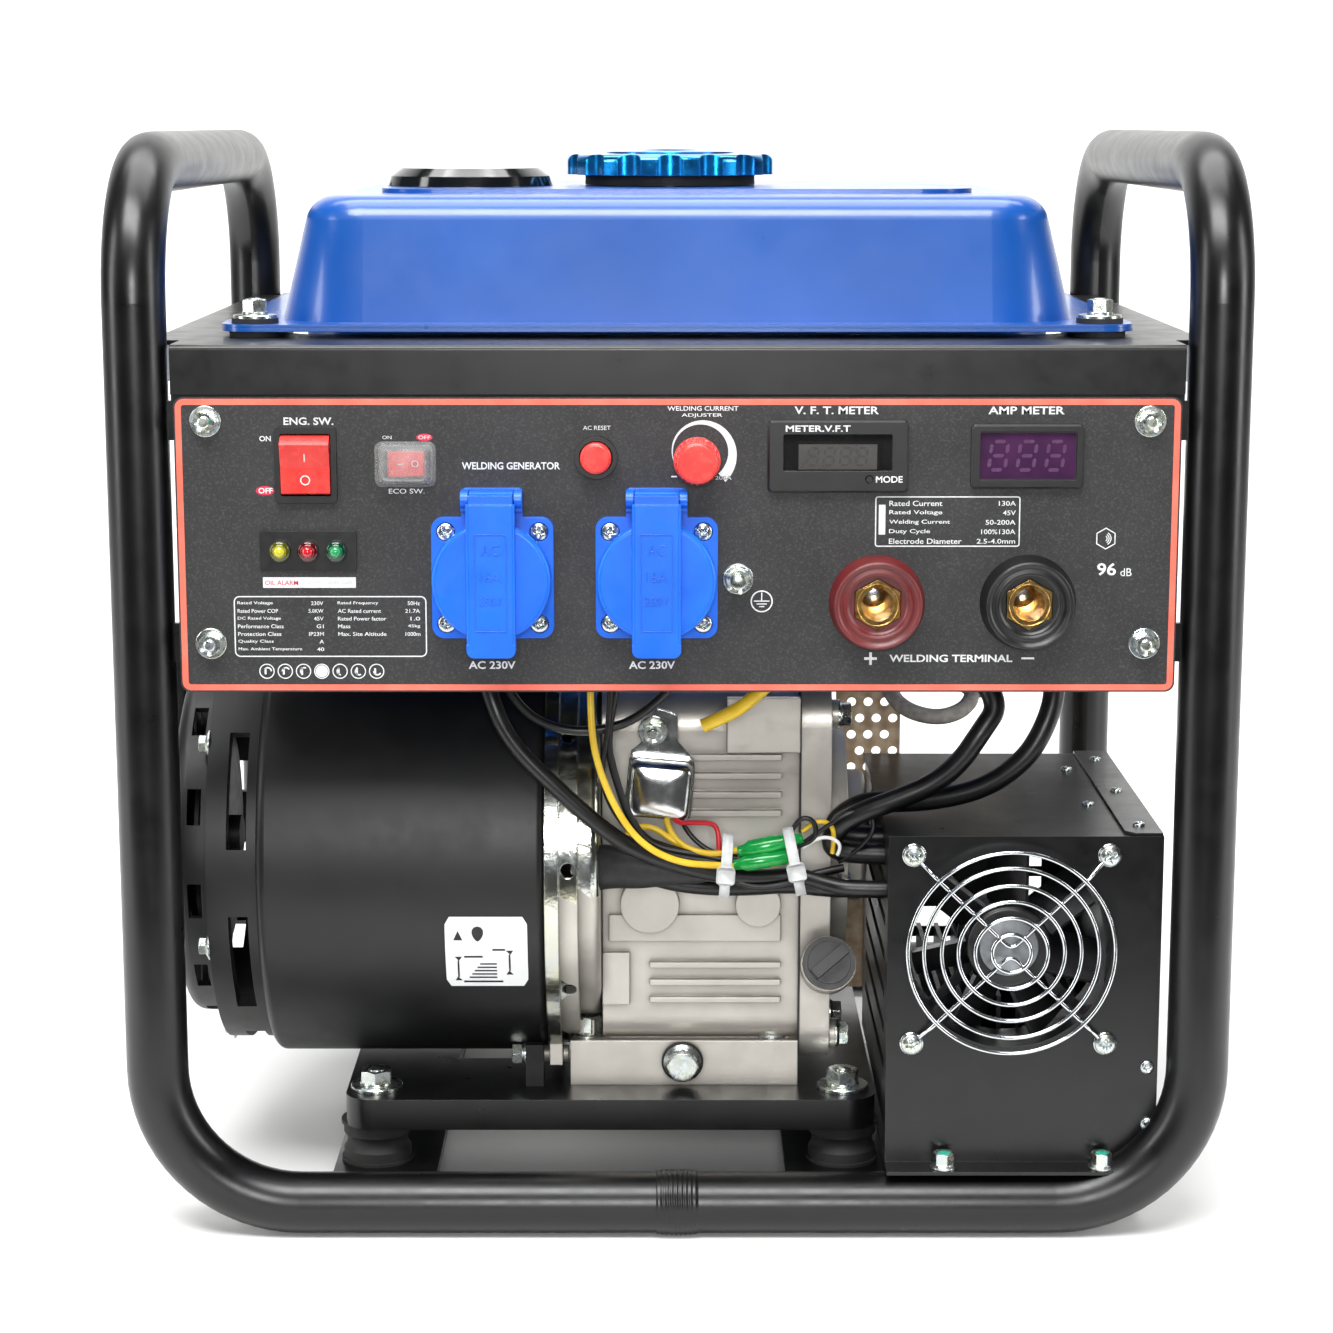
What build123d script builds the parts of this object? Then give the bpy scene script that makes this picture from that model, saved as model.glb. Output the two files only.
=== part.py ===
from build123d import *
from math import cos, pi, radians, sin, sqrt
import os

# Engine driven welder: a petrol inverter generator with welding and mains outputs in a tube frame.
# X runs left to right, Y from the control panel to the back, Z up. The parts are drawn about the
# middle of the tube frame and shifted back a little when written, so that the origin is below the
# middle of the whole machine, on the floor.

# Tube frame
tube_radius = 13.0
tube_wall = 2.0
half_width = 221.0
half_depth = 182.5
frame_height = 465.0
corner_bend = 60.0
shoulder_bend = 55.0
handle_z = frame_height - tube_radius
floor_tube_z = tube_radius

# Control panel
panel_front = -190.0
panel_half_width = 205.0
panel_bottom = 237.2
panel_top = 359.0
panel_sheet = 2.0
panel_bolt_x = 192.0
panel_bolt_heights = (257.6, 349.2)
panel_bolt_radius = 3.0

# Top plate
plate_top = 380.0
plate_sheet = 2.0
plate_lip = 20.0
plate_half_width = 219.0
tank_opening = (168.0, 128.0)

# Fuel tank
tank_flange = (192.0, 150.0)
tank_flange_z = 384.0
tank_sheet = 1.5
tank_upper_foot = (170.5, 140.0)
tank_upper_height = 54.0
tank_lower_foot = (162.0, 122.0)
tank_lower_height = 50.0
tank_bolt = (178.0, 137.0)
filler = (-3.0, 0.0)
gauge = (-94.5, -12.0)
float_drop = 40.0

# Sockets on the panel
socket_centres = ((-75.7, 285.2), (-8.6, 285.2))
socket_flange = 50.0
socket_screw = 19.0
socket_hinge_rise = 33.0
socket_recess_radius = 19.5

# Weld terminals on the panel
terminal_centres = ((81.8, 274.6), (143.8, 274.6))
terminal_radius = 19.8
terminal_bore = 6.6
terminal_front = panel_front - 9.0

# Smaller controls on the panel
engine_switch_at = (-151.5, 331.5)
eco_switch_at = (-110.6, 332.1)
switch_tilt = 11.0
engine_switch_pivot = 1.5
eco_switch_pivot = 1.2
breaker_at = (-33.3, 334.7)
knob_at = (7.8, 333.5)
engine_meter_at = (65.2, 335.1)
engine_meter_size = (57.3, 29.4)
mode_button_at = (77.9, 325.8)
amp_meter_at = (142.2, 335.1)
amp_meter_size = (46.0, 26.2)
indicator_at = (-151.2, 296.1)
indicator_size = (39.6, 16.4)
indicator_pitch = 11.5
earth_at = (24.7, 284.5)

# Engine and generator, about the crankshaft axis
shaft_y = -62.0
shaft_z = 146.0
shaft_radius = 12.0
running_gap = 0.05
cylinder_x = 10.0
cylinder_lean = 65.0
bore_radius = 34.0
shell_radius = 98.0
shell_ends = (-181.0, -57.0)
recoil_radius = 80.0
oil_filler = (67.0, -120.0, 100.0)
rope_guide = (-42.0, 210.0)

# Engine tray and its mounts
tray_x = (-147.0, 88.0)
tray_y = (-140.0, 112.0)
tray_top = 44.4
tray_bottom = 30.6
tray_sheet = 2.5
mount_x = (-134.0, 74.0)
mount_y = (-122.0, 94.0)
cross_member_x = ((-152.0, -106.0), (48.0, 94.0))
cross_member_z = (8.0, 12.0)

# Inverter case
case_x = (90.0, 193.0)
case_y = (-178.0, -10.0)
case_z = (39.0, 173.0)
case_flange_x = 205.0
case_flange_z = 28.0
case_sheet = 1.5
fan_at = (141.0, 123.7)
fan_screw = 41.25
fan_radius = 43.0

# Cable sizes
weld_cable_radius = 4.6
loom_radius = 3.6
lead_radius = 2.2

# The lid straps reach furthest forward, the rear tubes furthest back
front_reach = 209.5
back_reach = half_depth + tube_radius
depth_shift = (front_reach - back_reach) / 2


def block(x, y, z):
    """A box between two X, two Y and two Z values."""
    size = [b - a for a, b in (x, y, z)]
    middle = [(a + b) / 2 for a, b in (x, y, z)]
    return Pos(*middle) * Box(*size)


def rod_x(x, y, z, radius):
    """A round bar along X between two X values."""
    return Pos((x[0] + x[1]) / 2, y, z) * Rot(0, 90, 0) * Cylinder(radius, x[1] - x[0])


def rod_y(x, y, z, radius):
    """A round bar along Y between two Y values."""
    return Pos(x, (y[0] + y[1]) / 2, z) * Rot(90, 0, 0) * Cylinder(radius, y[1] - y[0])


def rod_z(x, y, z, radius):
    """A round bar along Z between two Z values."""
    return Pos(x, y, (z[0] + z[1]) / 2) * Cylinder(radius, z[1] - z[0])


def plate_y(x, y, z, width, height, corner):
    """A rounded plate facing Y, between two Y values."""
    outline = RectangleRounded(width, height, corner)
    return Pos(x, y[1], z) * Rot(90, 0, 0) * extrude(outline, y[1] - y[0])


def plate_z(x, y, z, width, depth, corner):
    """A rounded plate facing Z, between two Z values."""
    return Pos(x, y, z[0]) * extrude(RectangleRounded(width, depth, corner), z[1] - z[0])


def hexagon_y(x, y, z, flats):
    """A hexagonal bar along Y with a point up, as a bolt head or nut."""
    outline = RegularPolygon(flats / 2, 6, major_radius=False, rotation=30)
    return Pos(x, y[1], z) * Rot(90, 0, 0) * extrude(outline, y[1] - y[0])


def hexagon_z(x, y, z, flats):
    """A hexagonal bar along Z."""
    return Pos(x, y, z[0]) * extrude(RegularPolygon(flats / 2, 6, major_radius=False), z[1] - z[0])


def cable(points, radius):
    """A round cable through the points, its bends as large as the runs allow."""
    runs = [(Vector(b) - Vector(a)).length for a, b in zip(points, points[1:])]
    bends = []
    for i in range(1, len(points) - 1):
        before = Vector(points[i]) - Vector(points[i - 1])
        after = Vector(points[i + 1]) - Vector(points[i])
        turn = radians(before.get_angle(after))
        bends.append(0.45 * min(runs[i - 1], runs[i]) * cos(turn / 2) / sin(turn / 2))
    print("bend radii", [round(bend, 1) for bend in bends])
    route = FilletPolyline(*points, radius=bends)
    start = Plane(route @ 0, z_dir=route % 0)
    tube = sweep(start * Circle(radius), route)
    print("cable volume", round(tube.volume), "expected", round(pi * radius ** 2 * route.length))
    return tube


def write(name, *solids):
    """Shift a sub-part to the machine's origin and write it."""
    placed = [Pos(0, depth_shift, 0) * solid for solid in solids]
    shape = placed[0] if len(placed) == 1 else Compound(children=placed)
    export_step(shape, f"parts/{name}.step")


# ---------------------------------------------------------------- tube frame

def frame_tube(side):
    """Half of the bent steel tube loop, from the front seam over the handle to the rear seam."""
    x = side * half_width
    corners = [
        (0, -half_depth, floor_tube_z),
        (x, -half_depth, floor_tube_z),
        (x, -half_depth, handle_z),
        (x, half_depth, handle_z),
        (x, half_depth, floor_tube_z),
        (0, half_depth, floor_tube_z),
    ]
    route = FilletPolyline(*corners, radius=[corner_bend, shoulder_bend, shoulder_bend, corner_bend])
    wall = Circle(tube_radius) - Circle(tube_radius - tube_wall)
    start = Plane(route @ 0, x_dir=(0, 1, 0), z_dir=route % 0)
    return sweep(start * wall, route)


def cross_member(x):
    """A flat bar under the engine, cupped onto the front and rear floor tubes."""
    reach = half_depth - 1
    bar = block(x, (-reach, reach), cross_member_z)
    for side in (-1, 1):
        bar -= rod_x((x[0] - 1, x[1] + 1), side * half_depth, floor_tube_z, tube_radius)
    return bar


def rubber_mount(x, y):
    """A round rubber block between its two steel washers."""
    bottom = cross_member_z[1]
    top = tray_bottom
    rubber = rod_z(x, y, (bottom + 1.5, top - 1.5), 15)
    rubber -= Pos(x, y, (bottom + top) / 2) * Torus(18.5, 5)
    washers = rod_z(x, y, (bottom, bottom + 1.5), 16) + rod_z(x, y, (top - 1.5, top), 16)
    return rubber + washers


def engine_tray():
    """The folded steel tray that the engine is bolted to, with its edges turned down."""
    middle = (sum(tray_x) / 2, sum(tray_y) / 2)
    width = tray_x[1] - tray_x[0]
    depth = tray_y[1] - tray_y[0]
    tray = plate_z(*middle, (tray_bottom, tray_top), width, depth, 12)
    inside = (width - 2 * tray_sheet, depth - 2 * tray_sheet)
    tray -= plate_z(*middle, (tray_bottom - 1, tray_top - tray_sheet), *inside, 12 - tray_sheet)
    tray -= block((-100, -20), (-80, 60), (tray_bottom, tray_top + 1))
    outline = plate_z(*middle, (tray_bottom, tray_top), width, depth, 12)
    for x in mount_x:
        for y in mount_y:
            tray += plate_z(x, y, (tray_bottom, tray_bottom + tray_sheet), 34, 34, 4) & outline
    return tray


def tray_bolts():
    """Flanged bolts: four down into the rubber mounts."""
    bolts = []
    for x in mount_x:
        for y in mount_y:
            head = hexagon_z(x, y, (tray_top + 1.6, tray_top + 7.5), 13)
            bolts.append(head + rod_z(x, y, (tray_top, tray_top + 1.6), 9))
    return bolts


# ---------------------------------------------------------------- top plate and control box

def top_plate():
    """The folded plate over the engine that carries the tank, notched round the four uprights."""
    z = (plate_top - plate_sheet, plate_top)
    side = half_width - tube_radius - 2
    reach = -panel_front
    plate = block((-plate_half_width, plate_half_width), (-162, 162), z)
    plate += block((-side, side), (-reach, reach), z)
    lip_z = (plate_top - plate_lip, plate_top)
    for end in (-1, 1):
        lip_y = sorted((end * reach, end * (reach - plate_sheet)))
        plate += block((-side, side), lip_y, lip_z)
        lip_x = sorted((end * plate_half_width, end * (plate_half_width - plate_sheet)))
        plate += block(lip_x, (-162, 162), lip_z)
    folds = plate.edges().filter_by(Axis.X).group_by(Axis.Z)[-1].group_by(Axis.Y)
    plate = fillet([folds[0][0], folds[-1][0]], plate_sheet)
    for x in (-half_width, half_width):
        for y in (-half_depth, half_depth):
            plate -= rod_z(x, y, (plate_top - 40, plate_top + 10), tube_radius + 0.4)
    plate -= plate_z(0, 0, (plate_top - 5, plate_top + 5), 2 * tank_opening[0], 2 * tank_opening[1], 20)
    for x in (-tank_bolt[0], tank_bolt[0]):
        for y in (-tank_bolt[1], tank_bolt[1]):
            plate -= rod_z(x, y, (plate_top - 5, plate_top + 5), 3.3)
    return plate


def control_box():
    """The sheet steel box behind the panel, open below, with a tab to each upright at every bolt."""
    front = panel_front + panel_sheet
    back = -130.0
    sheet = 1.5
    half = 183.0
    z = (panel_bottom + 3, plate_top - plate_sheet - 12)
    box = block((-half, half), (back - sheet, back), z)
    box += block((-half, half), (front + 4, back), (z[1] - sheet, z[1]))
    for side in (-1, 1):
        wall = sorted((side * half, side * (half - sheet)))
        box += block(wall, (front, back), z)
        for height in panel_bolt_heights:
            tab = block(sorted((side * (half - 1), side * 207.6)), (front, front + 3), (height - 8, height + 8))
            box += tab - rod_y(side * panel_bolt_x, (front - 1, front + 4), height, panel_bolt_radius + 0.2)
    for x in range(-150, 151, 20):
        box -= plate_y(x, (back - 3, back + 3), 310, 8, 60, 3.9)
    return box


def front_panel():
    """The flat control panel with a hole for each thing that is fastened through it."""
    y = (panel_front, panel_front + panel_sheet)
    cut = (panel_front - 1, panel_front + panel_sheet + 1)
    height = panel_top - panel_bottom
    sheet = plate_y(0, y, (panel_top + panel_bottom) / 2, 2 * panel_half_width, height, 4)
    for side in (-1, 1):
        for z in panel_bolt_heights:
            sheet -= rod_y(side * panel_bolt_x, cut, z, panel_bolt_radius + 0.2)
    for x, z in socket_centres:
        sheet -= rod_y(x, cut, z, 22.4)
        for dx in (-socket_screw, socket_screw):
            for dz in (-socket_screw, socket_screw):
                sheet -= rod_y(x + dx, cut, z + dz, 1.9)
    for x, z in terminal_centres:
        sheet -= rod_y(x, cut, z, 15.4)
    sheet -= plate_y(engine_switch_at[0], cut, engine_switch_at[1], 22.2, 28.2, 1)
    sheet -= plate_y(eco_switch_at[0], cut, eco_switch_at[1], 19.2, 13.2, 1)
    sheet -= rod_y(breaker_at[0], cut, breaker_at[1], 7.4)
    sheet -= rod_y(knob_at[0], cut, knob_at[1], 3.7)
    sheet -= plate_y(engine_meter_at[0], cut, engine_meter_at[1], 52.2, 24.2, 1)
    sheet -= plate_y(amp_meter_at[0], cut, amp_meter_at[1], 42.2, 22.2, 1)
    for i in (-1, 0, 1):
        sheet -= rod_y(indicator_at[0] + i * indicator_pitch, cut, indicator_at[1], 3.1)
    sheet -= rod_y(earth_at[0], cut, earth_at[1], 3.2)
    return sheet


def panel_bolts():
    """Hexagon bolts with washers at the four corners of the panel."""
    bolts = []
    for x in (-panel_bolt_x, panel_bolt_x):
        for z in panel_bolt_heights:
            bolt = rod_y(x, (panel_front - 1.2, panel_front), z, 6.4)
            bolt += hexagon_y(x, (panel_front - 5.6, panel_front - 1.2), z, 8)
            bolt += rod_y(x, (panel_front, panel_front + 12), z, panel_bolt_radius)
            bolts.append(bolt)
    return bolts


# ---------------------------------------------------------------- fuel tank

def pressed_dish(foot, z, height, slope, corner, brow):
    """The solid inside a pressed half tank: sloping sides and a rounded brow."""
    outline = RectangleRounded(2 * foot[0], 2 * foot[1], corner)
    dish = extrude(outline, height, taper=slope)
    rim = dish.faces().sort_by(Axis.Z)[-1].edges()
    dish = fillet(rim, brow)
    return Pos(0, 0, z) * dish


def tank_upper_shell():
    """The upper half of the tank: a flange, sloping sides, a raised top and the filler rim."""
    z = tank_flange_z
    shell = plate_z(0, 0, (z, z + tank_sheet), 2 * tank_flange[0], 2 * tank_flange[1], 14)
    shell += pressed_dish(tank_upper_foot, z, tank_upper_height, 14, 38, 13)
    top = z + tank_upper_height
    shell += plate_z(0, 12, (top - 1, top + 2), 262, 186, 24)
    shell += rod_z(*filler, (top, top + 5.5), 34)
    inner = [side - tank_sheet for side in tank_upper_foot]
    shell -= pressed_dish(inner, z - 0.01, tank_upper_height - tank_sheet, 14, 36.5, 11.5)
    shell -= rod_z(*filler, (z + 5, top + 10), 29)
    shell -= rod_z(*gauge, (z + 5, top + 10), 22)
    for x in (-tank_bolt[0], tank_bolt[0]):
        for y in (-tank_bolt[1], tank_bolt[1]):
            shell -= rod_z(x, y, (z - 5, z + 5), 4.2)
    return shell


def tank_lower_shell():
    """The lower half of the tank, hanging through the top plate, seam welded to the upper half."""
    z = tank_flange_z
    shell = plate_z(0, 0, (z - tank_sheet, z), 2 * tank_flange[0], 2 * tank_flange[1], 14)
    deep = Rot(180, 0, 0) * pressed_dish(tank_lower_foot, 0, tank_lower_height, 10, 30, 14)
    shell += Pos(0, 0, z) * deep
    inner = [side - tank_sheet for side in tank_lower_foot]
    hollow = pressed_dish(inner, -0.01, tank_lower_height - tank_sheet, 10, 28.5, 12.5)
    shell -= Pos(0, 0, z) * Rot(180, 0, 0) * hollow
    for x in (-tank_bolt[0], tank_bolt[0]):
        for y in (-tank_bolt[1], tank_bolt[1]):
            shell -= rod_z(x, y, (z - 5, z + 5), 4.2)
    return shell


def tank_bushes():
    """Rubber bushes that hold the tank flange clear of the plate, one at each bolt."""
    bushes = []
    for x in (-tank_bolt[0], tank_bolt[0]):
        for y in (-tank_bolt[1], tank_bolt[1]):
            bush = rod_z(x, y, (plate_top, tank_flange_z - tank_sheet), 10.8)
            bush += rod_z(x, y, (plate_top, tank_flange_z + 3.6), 4.0)
            bush += rod_z(x, y, (tank_flange_z + tank_sheet, tank_flange_z + 3.6), 9.8)
            bushes.append(bush - rod_z(x, y, (plate_top - 1, tank_flange_z + 9), 3.2))
    return bushes


def tank_bolts():
    """Hexagon bolts with wide washers through the tank bushes into the top plate."""
    seat = tank_flange_z + 3.6
    bolts = []
    for x in (-tank_bolt[0], tank_bolt[0]):
        for y in (-tank_bolt[1], tank_bolt[1]):
            bolt = rod_z(x, y, (seat, seat + 1.6), 10.4)
            bolt += rod_z(x, y, (seat + 1.6, seat + 3.0), 6.5)
            bolt += hexagon_z(x, y, (seat + 3.0, seat + 8.4), 10)
            bolt += rod_z(x, y, (plate_top - 12, seat), 3.0)
            bolts.append(bolt)
    return bolts


def fuel_cap():
    """The domed screw cap with sixteen finger scallops round its rim."""
    bottom = tank_flange_z + tank_upper_height + 7.0
    cap = Pos(*filler, bottom) * Cylinder(48.5, 9.4, align=(Align.CENTER, Align.CENTER, Align.MIN))
    cap = fillet(cap.edges().sort_by(Axis.Z)[-1:], 3.4)
    for i in range(16):
        turn = 2 * pi * i / 16
        x = filler[0] + 53.6 * cos(turn)
        y = filler[1] + 53.6 * sin(turn)
        cap -= rod_z(x, y, (bottom - 1, bottom + 12), 8.0)
    cap -= rod_z(*filler, (bottom - 1, bottom + 5.5), 39.6)
    crown = Pos(*filler, bottom + 9.3) * Cone(33, 24, 1.6, align=(Align.CENTER, Align.CENTER, Align.MIN))
    return cap + crown


def fuel_cap_gasket():
    """The black bayonet insert and seal inside the cap, round the filler rim."""
    top = tank_flange_z + tank_upper_height + 12.0
    z = tank_flange_z + tank_upper_height + 2.3
    ring = rod_z(*filler, (z, top), 39.2) - rod_z(*filler, (z - 1, top - 2.5), 34.4)
    return ring + rod_z(*filler, (z - 8, top - 1), 27.5) - rod_z(*filler, (z - 9, top - 4), 24)


def fuel_gauge_housing():
    """The round level gauge pushed into the tank top, with a bevelled rim and two pivot arms."""
    base = tank_flange_z + tank_upper_height + 2.0
    x, y = gauge
    rim = Pos(x, y, base) * Cone(38, 36.5, 4.5, align=(Align.CENTER, Align.CENTER, Align.MIN))
    rim += Pos(x, y, base + 4.5) * Cone(36.5, 31.5, 3.6, align=(Align.CENTER, Align.CENTER, Align.MIN))
    rim -= rod_z(x, y, (base + 2.0, base + 6.6), 27.0)
    rim += rod_z(x, y, (base - 14, base + 1), 21.6) - rod_z(x, y, (base - 15, base + 3), 19.5)
    arm = block((x - 13, x - 11), (y - 4, y + 4), (base - 30, base - 8))
    arm += block((x + 11, x + 13), (y - 4, y + 4), (base - 30, base - 8))
    arm += block((x - 20.5, x - 11), (y - 4, y + 4), (base - 12, base - 8))
    arm += block((x + 11, x + 20.5), (y - 4, y + 4), (base - 12, base - 8))
    arm += rod_x((x - 12, x + 12), y, base - 26, 1.2)
    return rim + arm


def fuel_gauge_float():
    """The float on its arm, with the curved level flag that shows in the gauge window."""
    base = tank_flange_z + tank_upper_height + 2.0
    x, y = gauge
    pivot = base - 26
    hub = rod_x((x - 6, x + 6), y, pivot, 3.2) - rod_x((x - 7, x + 7), y, pivot, 1.25)
    arm = block((x - 1.5, x + 1.5), (y + 2.4, y + 62), (pivot - 1.5, pivot + 1.5))
    floater = Pos(x, y + 70, pivot) * Rot(0, 90, 0) * Cylinder(11, 30)
    flag = block((x - 1.2, x + 1.2), (y - 1.5, y + 1.5), (pivot + 2.6, base - 1))
    flag += rod_x((x - 1.2, x + 1.2), y, base - 4, 3.0)
    lever = Pos(-x, -y, -pivot) * (hub + arm + floater + flag)
    return Pos(x, y, pivot) * Rot(-float_drop, 0, 0) * lever


# ---------------------------------------------------------------- switches, knob and meters

def rocker(width, radius, face, hollow):
    """A rocker in its middle position, pivoting on the X axis, with its hollow face towards -Y."""
    rise = sqrt(radius ** 2 - face ** 2)
    outline = Circle(radius) - Pos(11, 0) * Rectangle(20, 3 * radius)
    outline -= Polygon((-face, rise), (hollow - face, 0), (-face, -rise), (-30, -rise), (-30, rise), align=None)
    return Pos(-width / 2, 0, 0) * Rot(0, 90, 0) * Rot(0, 0, 90) * extrude(outline, width)


def engine_switch_body():
    """The panel rocker switch: a bezel on the panel and its moulded body behind."""
    x, z = engine_switch_at
    body = plate_y(x, (panel_front - 2.2, panel_front), z, 25.4, 31.1, 2)
    body += plate_y(x, (panel_front, panel_front + 24), z, 21.8, 27.8, 1)
    body -= plate_y(x, (panel_front - 4, panel_front + 20), z, 20.6, 25.4, 0.8)
    for dx in (-6, 0, 6):
        body += block((x + dx - 0.4, x + dx + 0.4), (panel_front + 23, panel_front + 33), (z + 5, z + 11))
    return body


def engine_switch_rocker():
    """The rocker of the engine switch, resting with its lower half pressed in."""
    x, z = engine_switch_at
    lever = rocker(20.0, 12.4, 7.0, 1.5)
    return Pos(x, panel_front + engine_switch_pivot, z) * Rot(switch_tilt, 0, 0) * lever


def eco_switch_body():
    """The smaller rocker switch for idling speed: its bezel and body."""
    x, z = eco_switch_at
    body = plate_y(x, (panel_front - 1.8, panel_front), z, 21, 15.2, 1.5)
    body += plate_y(x, (panel_front, panel_front + 16), z, 18.8, 12.8, 1)
    return body - plate_y(x, (panel_front - 4, panel_front + 13), z, 16.6, 10.8, 0.6)


def eco_switch_rocker():
    """The idling speed rocker, turned on its side, with its right end pressed in."""
    x, z = eco_switch_at
    lever = Rot(0, 90, 0) * rocker(10.2, 8.0, 5.2, 1.1)
    return Pos(x, panel_front + eco_switch_pivot, z) * Rot(0, 0, switch_tilt) * lever


def indicator_block():
    """The plate for three warning lamps, with a raised bezel round each lamp."""
    x, z = indicator_at
    strip = plate_y(x, (panel_front - 1.0, panel_front), z, *indicator_size, 1.2)
    for i in (-1, 0, 1):
        lamp = x + i * indicator_pitch
        strip += rod_y(lamp, (panel_front - 3.2, panel_front), z, 4.5)
        strip -= rod_y(lamp, (panel_front - 5, panel_front - 1.5), z, 3.0)
        strip += rod_y(lamp, (panel_front - 1, panel_front + 8), z, 2.9)
    return strip


def circuit_breaker():
    """The mains breaker behind the panel, held by its ring nut in front."""
    x, z = breaker_at
    body = block((x - 9, x + 9), (panel_front + 3, panel_front + 34), (z - 15, z + 15))
    body += rod_y(x, (panel_front - 4.0, panel_front), z, 8.7)
    body += rod_y(x, (panel_front, panel_front + 4), z, 7.2)
    return body - rod_y(x, (panel_front - 5, panel_front + 9), z, 6.8)


def reset_button():
    """The push button of the breaker."""
    x, z = breaker_at
    button = rod_y(x, (panel_front - 8.2, panel_front + 5.0), z, 6.4)
    return fillet(button.edges().sort_by(Axis.Y)[:1], 1.2)


def current_potentiometer():
    """The current control behind the panel, with its fixed bush through the panel."""
    x, z = knob_at
    body = rod_y(x, (panel_front + 3, panel_front + 14), z, 8.5)
    body += rod_y(x, (panel_front - 2.2, panel_front + 4), z, 3.5)
    return body - rod_y(x, (panel_front - 4, panel_front + 10), z, 3.0 + running_gap)


def current_knob():
    """The current knob: a skirted cap on a shaft."""
    x, z = knob_at
    knob = rod_y(x, (panel_front - 15, panel_front - 3.4), z, 8.4)
    knob = fillet(knob.edges().sort_by(Axis.Y)[:1], 1.2)
    knob += rod_y(x, (panel_front - 4.6, panel_front - 2.8), z, 9.6)
    for i in range(24):
        turn = 2 * pi * i / 24
        ridge = (x + 8.5 * cos(turn), z + 8.5 * sin(turn))
        knob += rod_y(ridge[0], (panel_front - 13, panel_front - 3.2), ridge[1], 0.45)
    return knob + rod_y(x, (panel_front - 6, panel_front + 9), z, 3.0)


def meter(at, size, window, window_at, depth):
    """A panel meter: bezel, sunk window and the case behind the panel."""
    x, z = at
    bezel = plate_y(x, (panel_front - 3.2, panel_front), z, *size, 2)
    bezel = chamfer(bezel.faces().sort_by(Axis.Y)[0].edges(), 0.8)
    case = plate_y(x, (panel_front, panel_front + depth), z, size[0] - 5.6, size[1] - 5.6, 1)
    sunk = plate_y(window_at[0], (panel_front - 5, panel_front - 1.6), window_at[1], *window, 0.8)
    return bezel + case - sunk


def engine_meter():
    """The volt, hertz and hour meter, with a hole for its mode button."""
    case = meter(engine_meter_at, engine_meter_size, (44.3, 15.1), (65.0, 336.6), 18)
    return case - rod_y(mode_button_at[0], (panel_front - 5, panel_front + 6), mode_button_at[1], 1.6)


def meter_mode_button():
    """The small button that steps the meter from volts to hertz to hours."""
    x, z = mode_button_at
    return rod_y(x, (panel_front - 4.2, panel_front + 4.0), z, 1.35)


def amp_meter():
    """The welding current meter."""
    return meter(amp_meter_at, amp_meter_size, (39.5, 20.0), (142.4, 335.3), 20)


# ---------------------------------------------------------------- outlets and terminals

def socket_base(x, z):
    """An earthed flush socket: flange, round recess, hinge ears with their pin."""
    out = panel_front
    base = plate_y(x, (out - 3, out), z, socket_flange, socket_flange, 5)
    base += plate_y(x, (out - 3, out), z + 29, 25, 16, 2)
    base += rod_y(x, (out - 10.5, out), z, 23.2)
    base += rod_y(x, (out, out + 26), z, 22.0)
    base -= rod_y(x, (out - 12, out + 14), z, socket_recess_radius)
    for dx in (-9.5, 9.5):
        base -= rod_y(x + dx, (out + 13, out + 24), z, 2.6)
    for dx in (-socket_screw, socket_screw):
        for dz in (-socket_screw, socket_screw):
            base -= rod_y(x + dx, (out - 4, out + 1), z + dz, 1.8)
            base -= rod_y(x + dx, (out - 4, out - 1.8), z + dz, 3.9)
    hinge = z + socket_hinge_rise
    for side in (-1, 1):
        ear = sorted((x + side * 9.3, x + side * 12.5))
        base += block(ear, (out - 9, out - 2), (hinge - 5, hinge + 3.5))
        base += rod_x(ear, out - 8.5, hinge, 3.5)
    return base + rod_x((x - 11, x + 11), out - 8.5, hinge, 1.25)


def socket_lid(x, z):
    """The sprung lid over a socket: a round cover with its strap, hung on the hinge pin."""
    out = panel_front
    hinge = z + socket_hinge_rise
    lid = rod_y(x, (out - 15.6, out - 11.0), z, 24.3)
    lid = fillet(lid.edges().sort_by(Axis.Y)[:1], 1.8)
    lid -= rod_y(x, (out - 13.6, out - 10), z, 20.5)
    lid += rod_y(x, (out - 14, out - 8.4), z, 18.8) - rod_y(x, (out - 14.5, out - 8), z, 16.8)
    strap = block((x - 10, x + 10), (out - 19.5, out - 15.4), (z - 27, hinge - 1))
    strap = fillet(strap.edges().filter_by(Axis.Z).sort_by(Axis.Y)[:2], 1.5)
    tip = block((x - 10, x + 10), (out - 19.5, out - 13.0), (z - 30.5, z - 25))
    lid += strap + fillet(tip.edges().filter_by(Axis.Y).sort_by(Axis.Z)[:2], 3.2)
    lid += block((x - 8.9, x + 8.9), (out - 17, out - 8.5), (hinge - 2.6, hinge + 2.6))
    lid += block((x - 8.9, x + 8.9), (out - 16.4, out - 12.2), (z + 23, hinge))
    lid += rod_x((x - 8.9, x + 8.9), out - 8.5, hinge, 3.5)
    return lid - rod_x((x - 12, x + 12), out - 8.5, hinge, 1.25 + running_gap)


def weld_terminal(x, z):
    """The moulded collar of a weld terminal, clamped through the panel."""
    collar = Pos(x, panel_front, z) * Rot(90, 0, 0) * Cone(
        terminal_radius, terminal_radius - 2.2, 9, align=(Align.CENTER, Align.CENTER, Align.MIN))
    collar += rod_y(x, (panel_front, panel_front + 24), z, 15.2)
    collar -= rod_y(x, (terminal_front - 1, panel_front + 2), z, 12.4)
    return collar - rod_y(x, (panel_front, panel_front + 25), z, 9.6)


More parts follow.
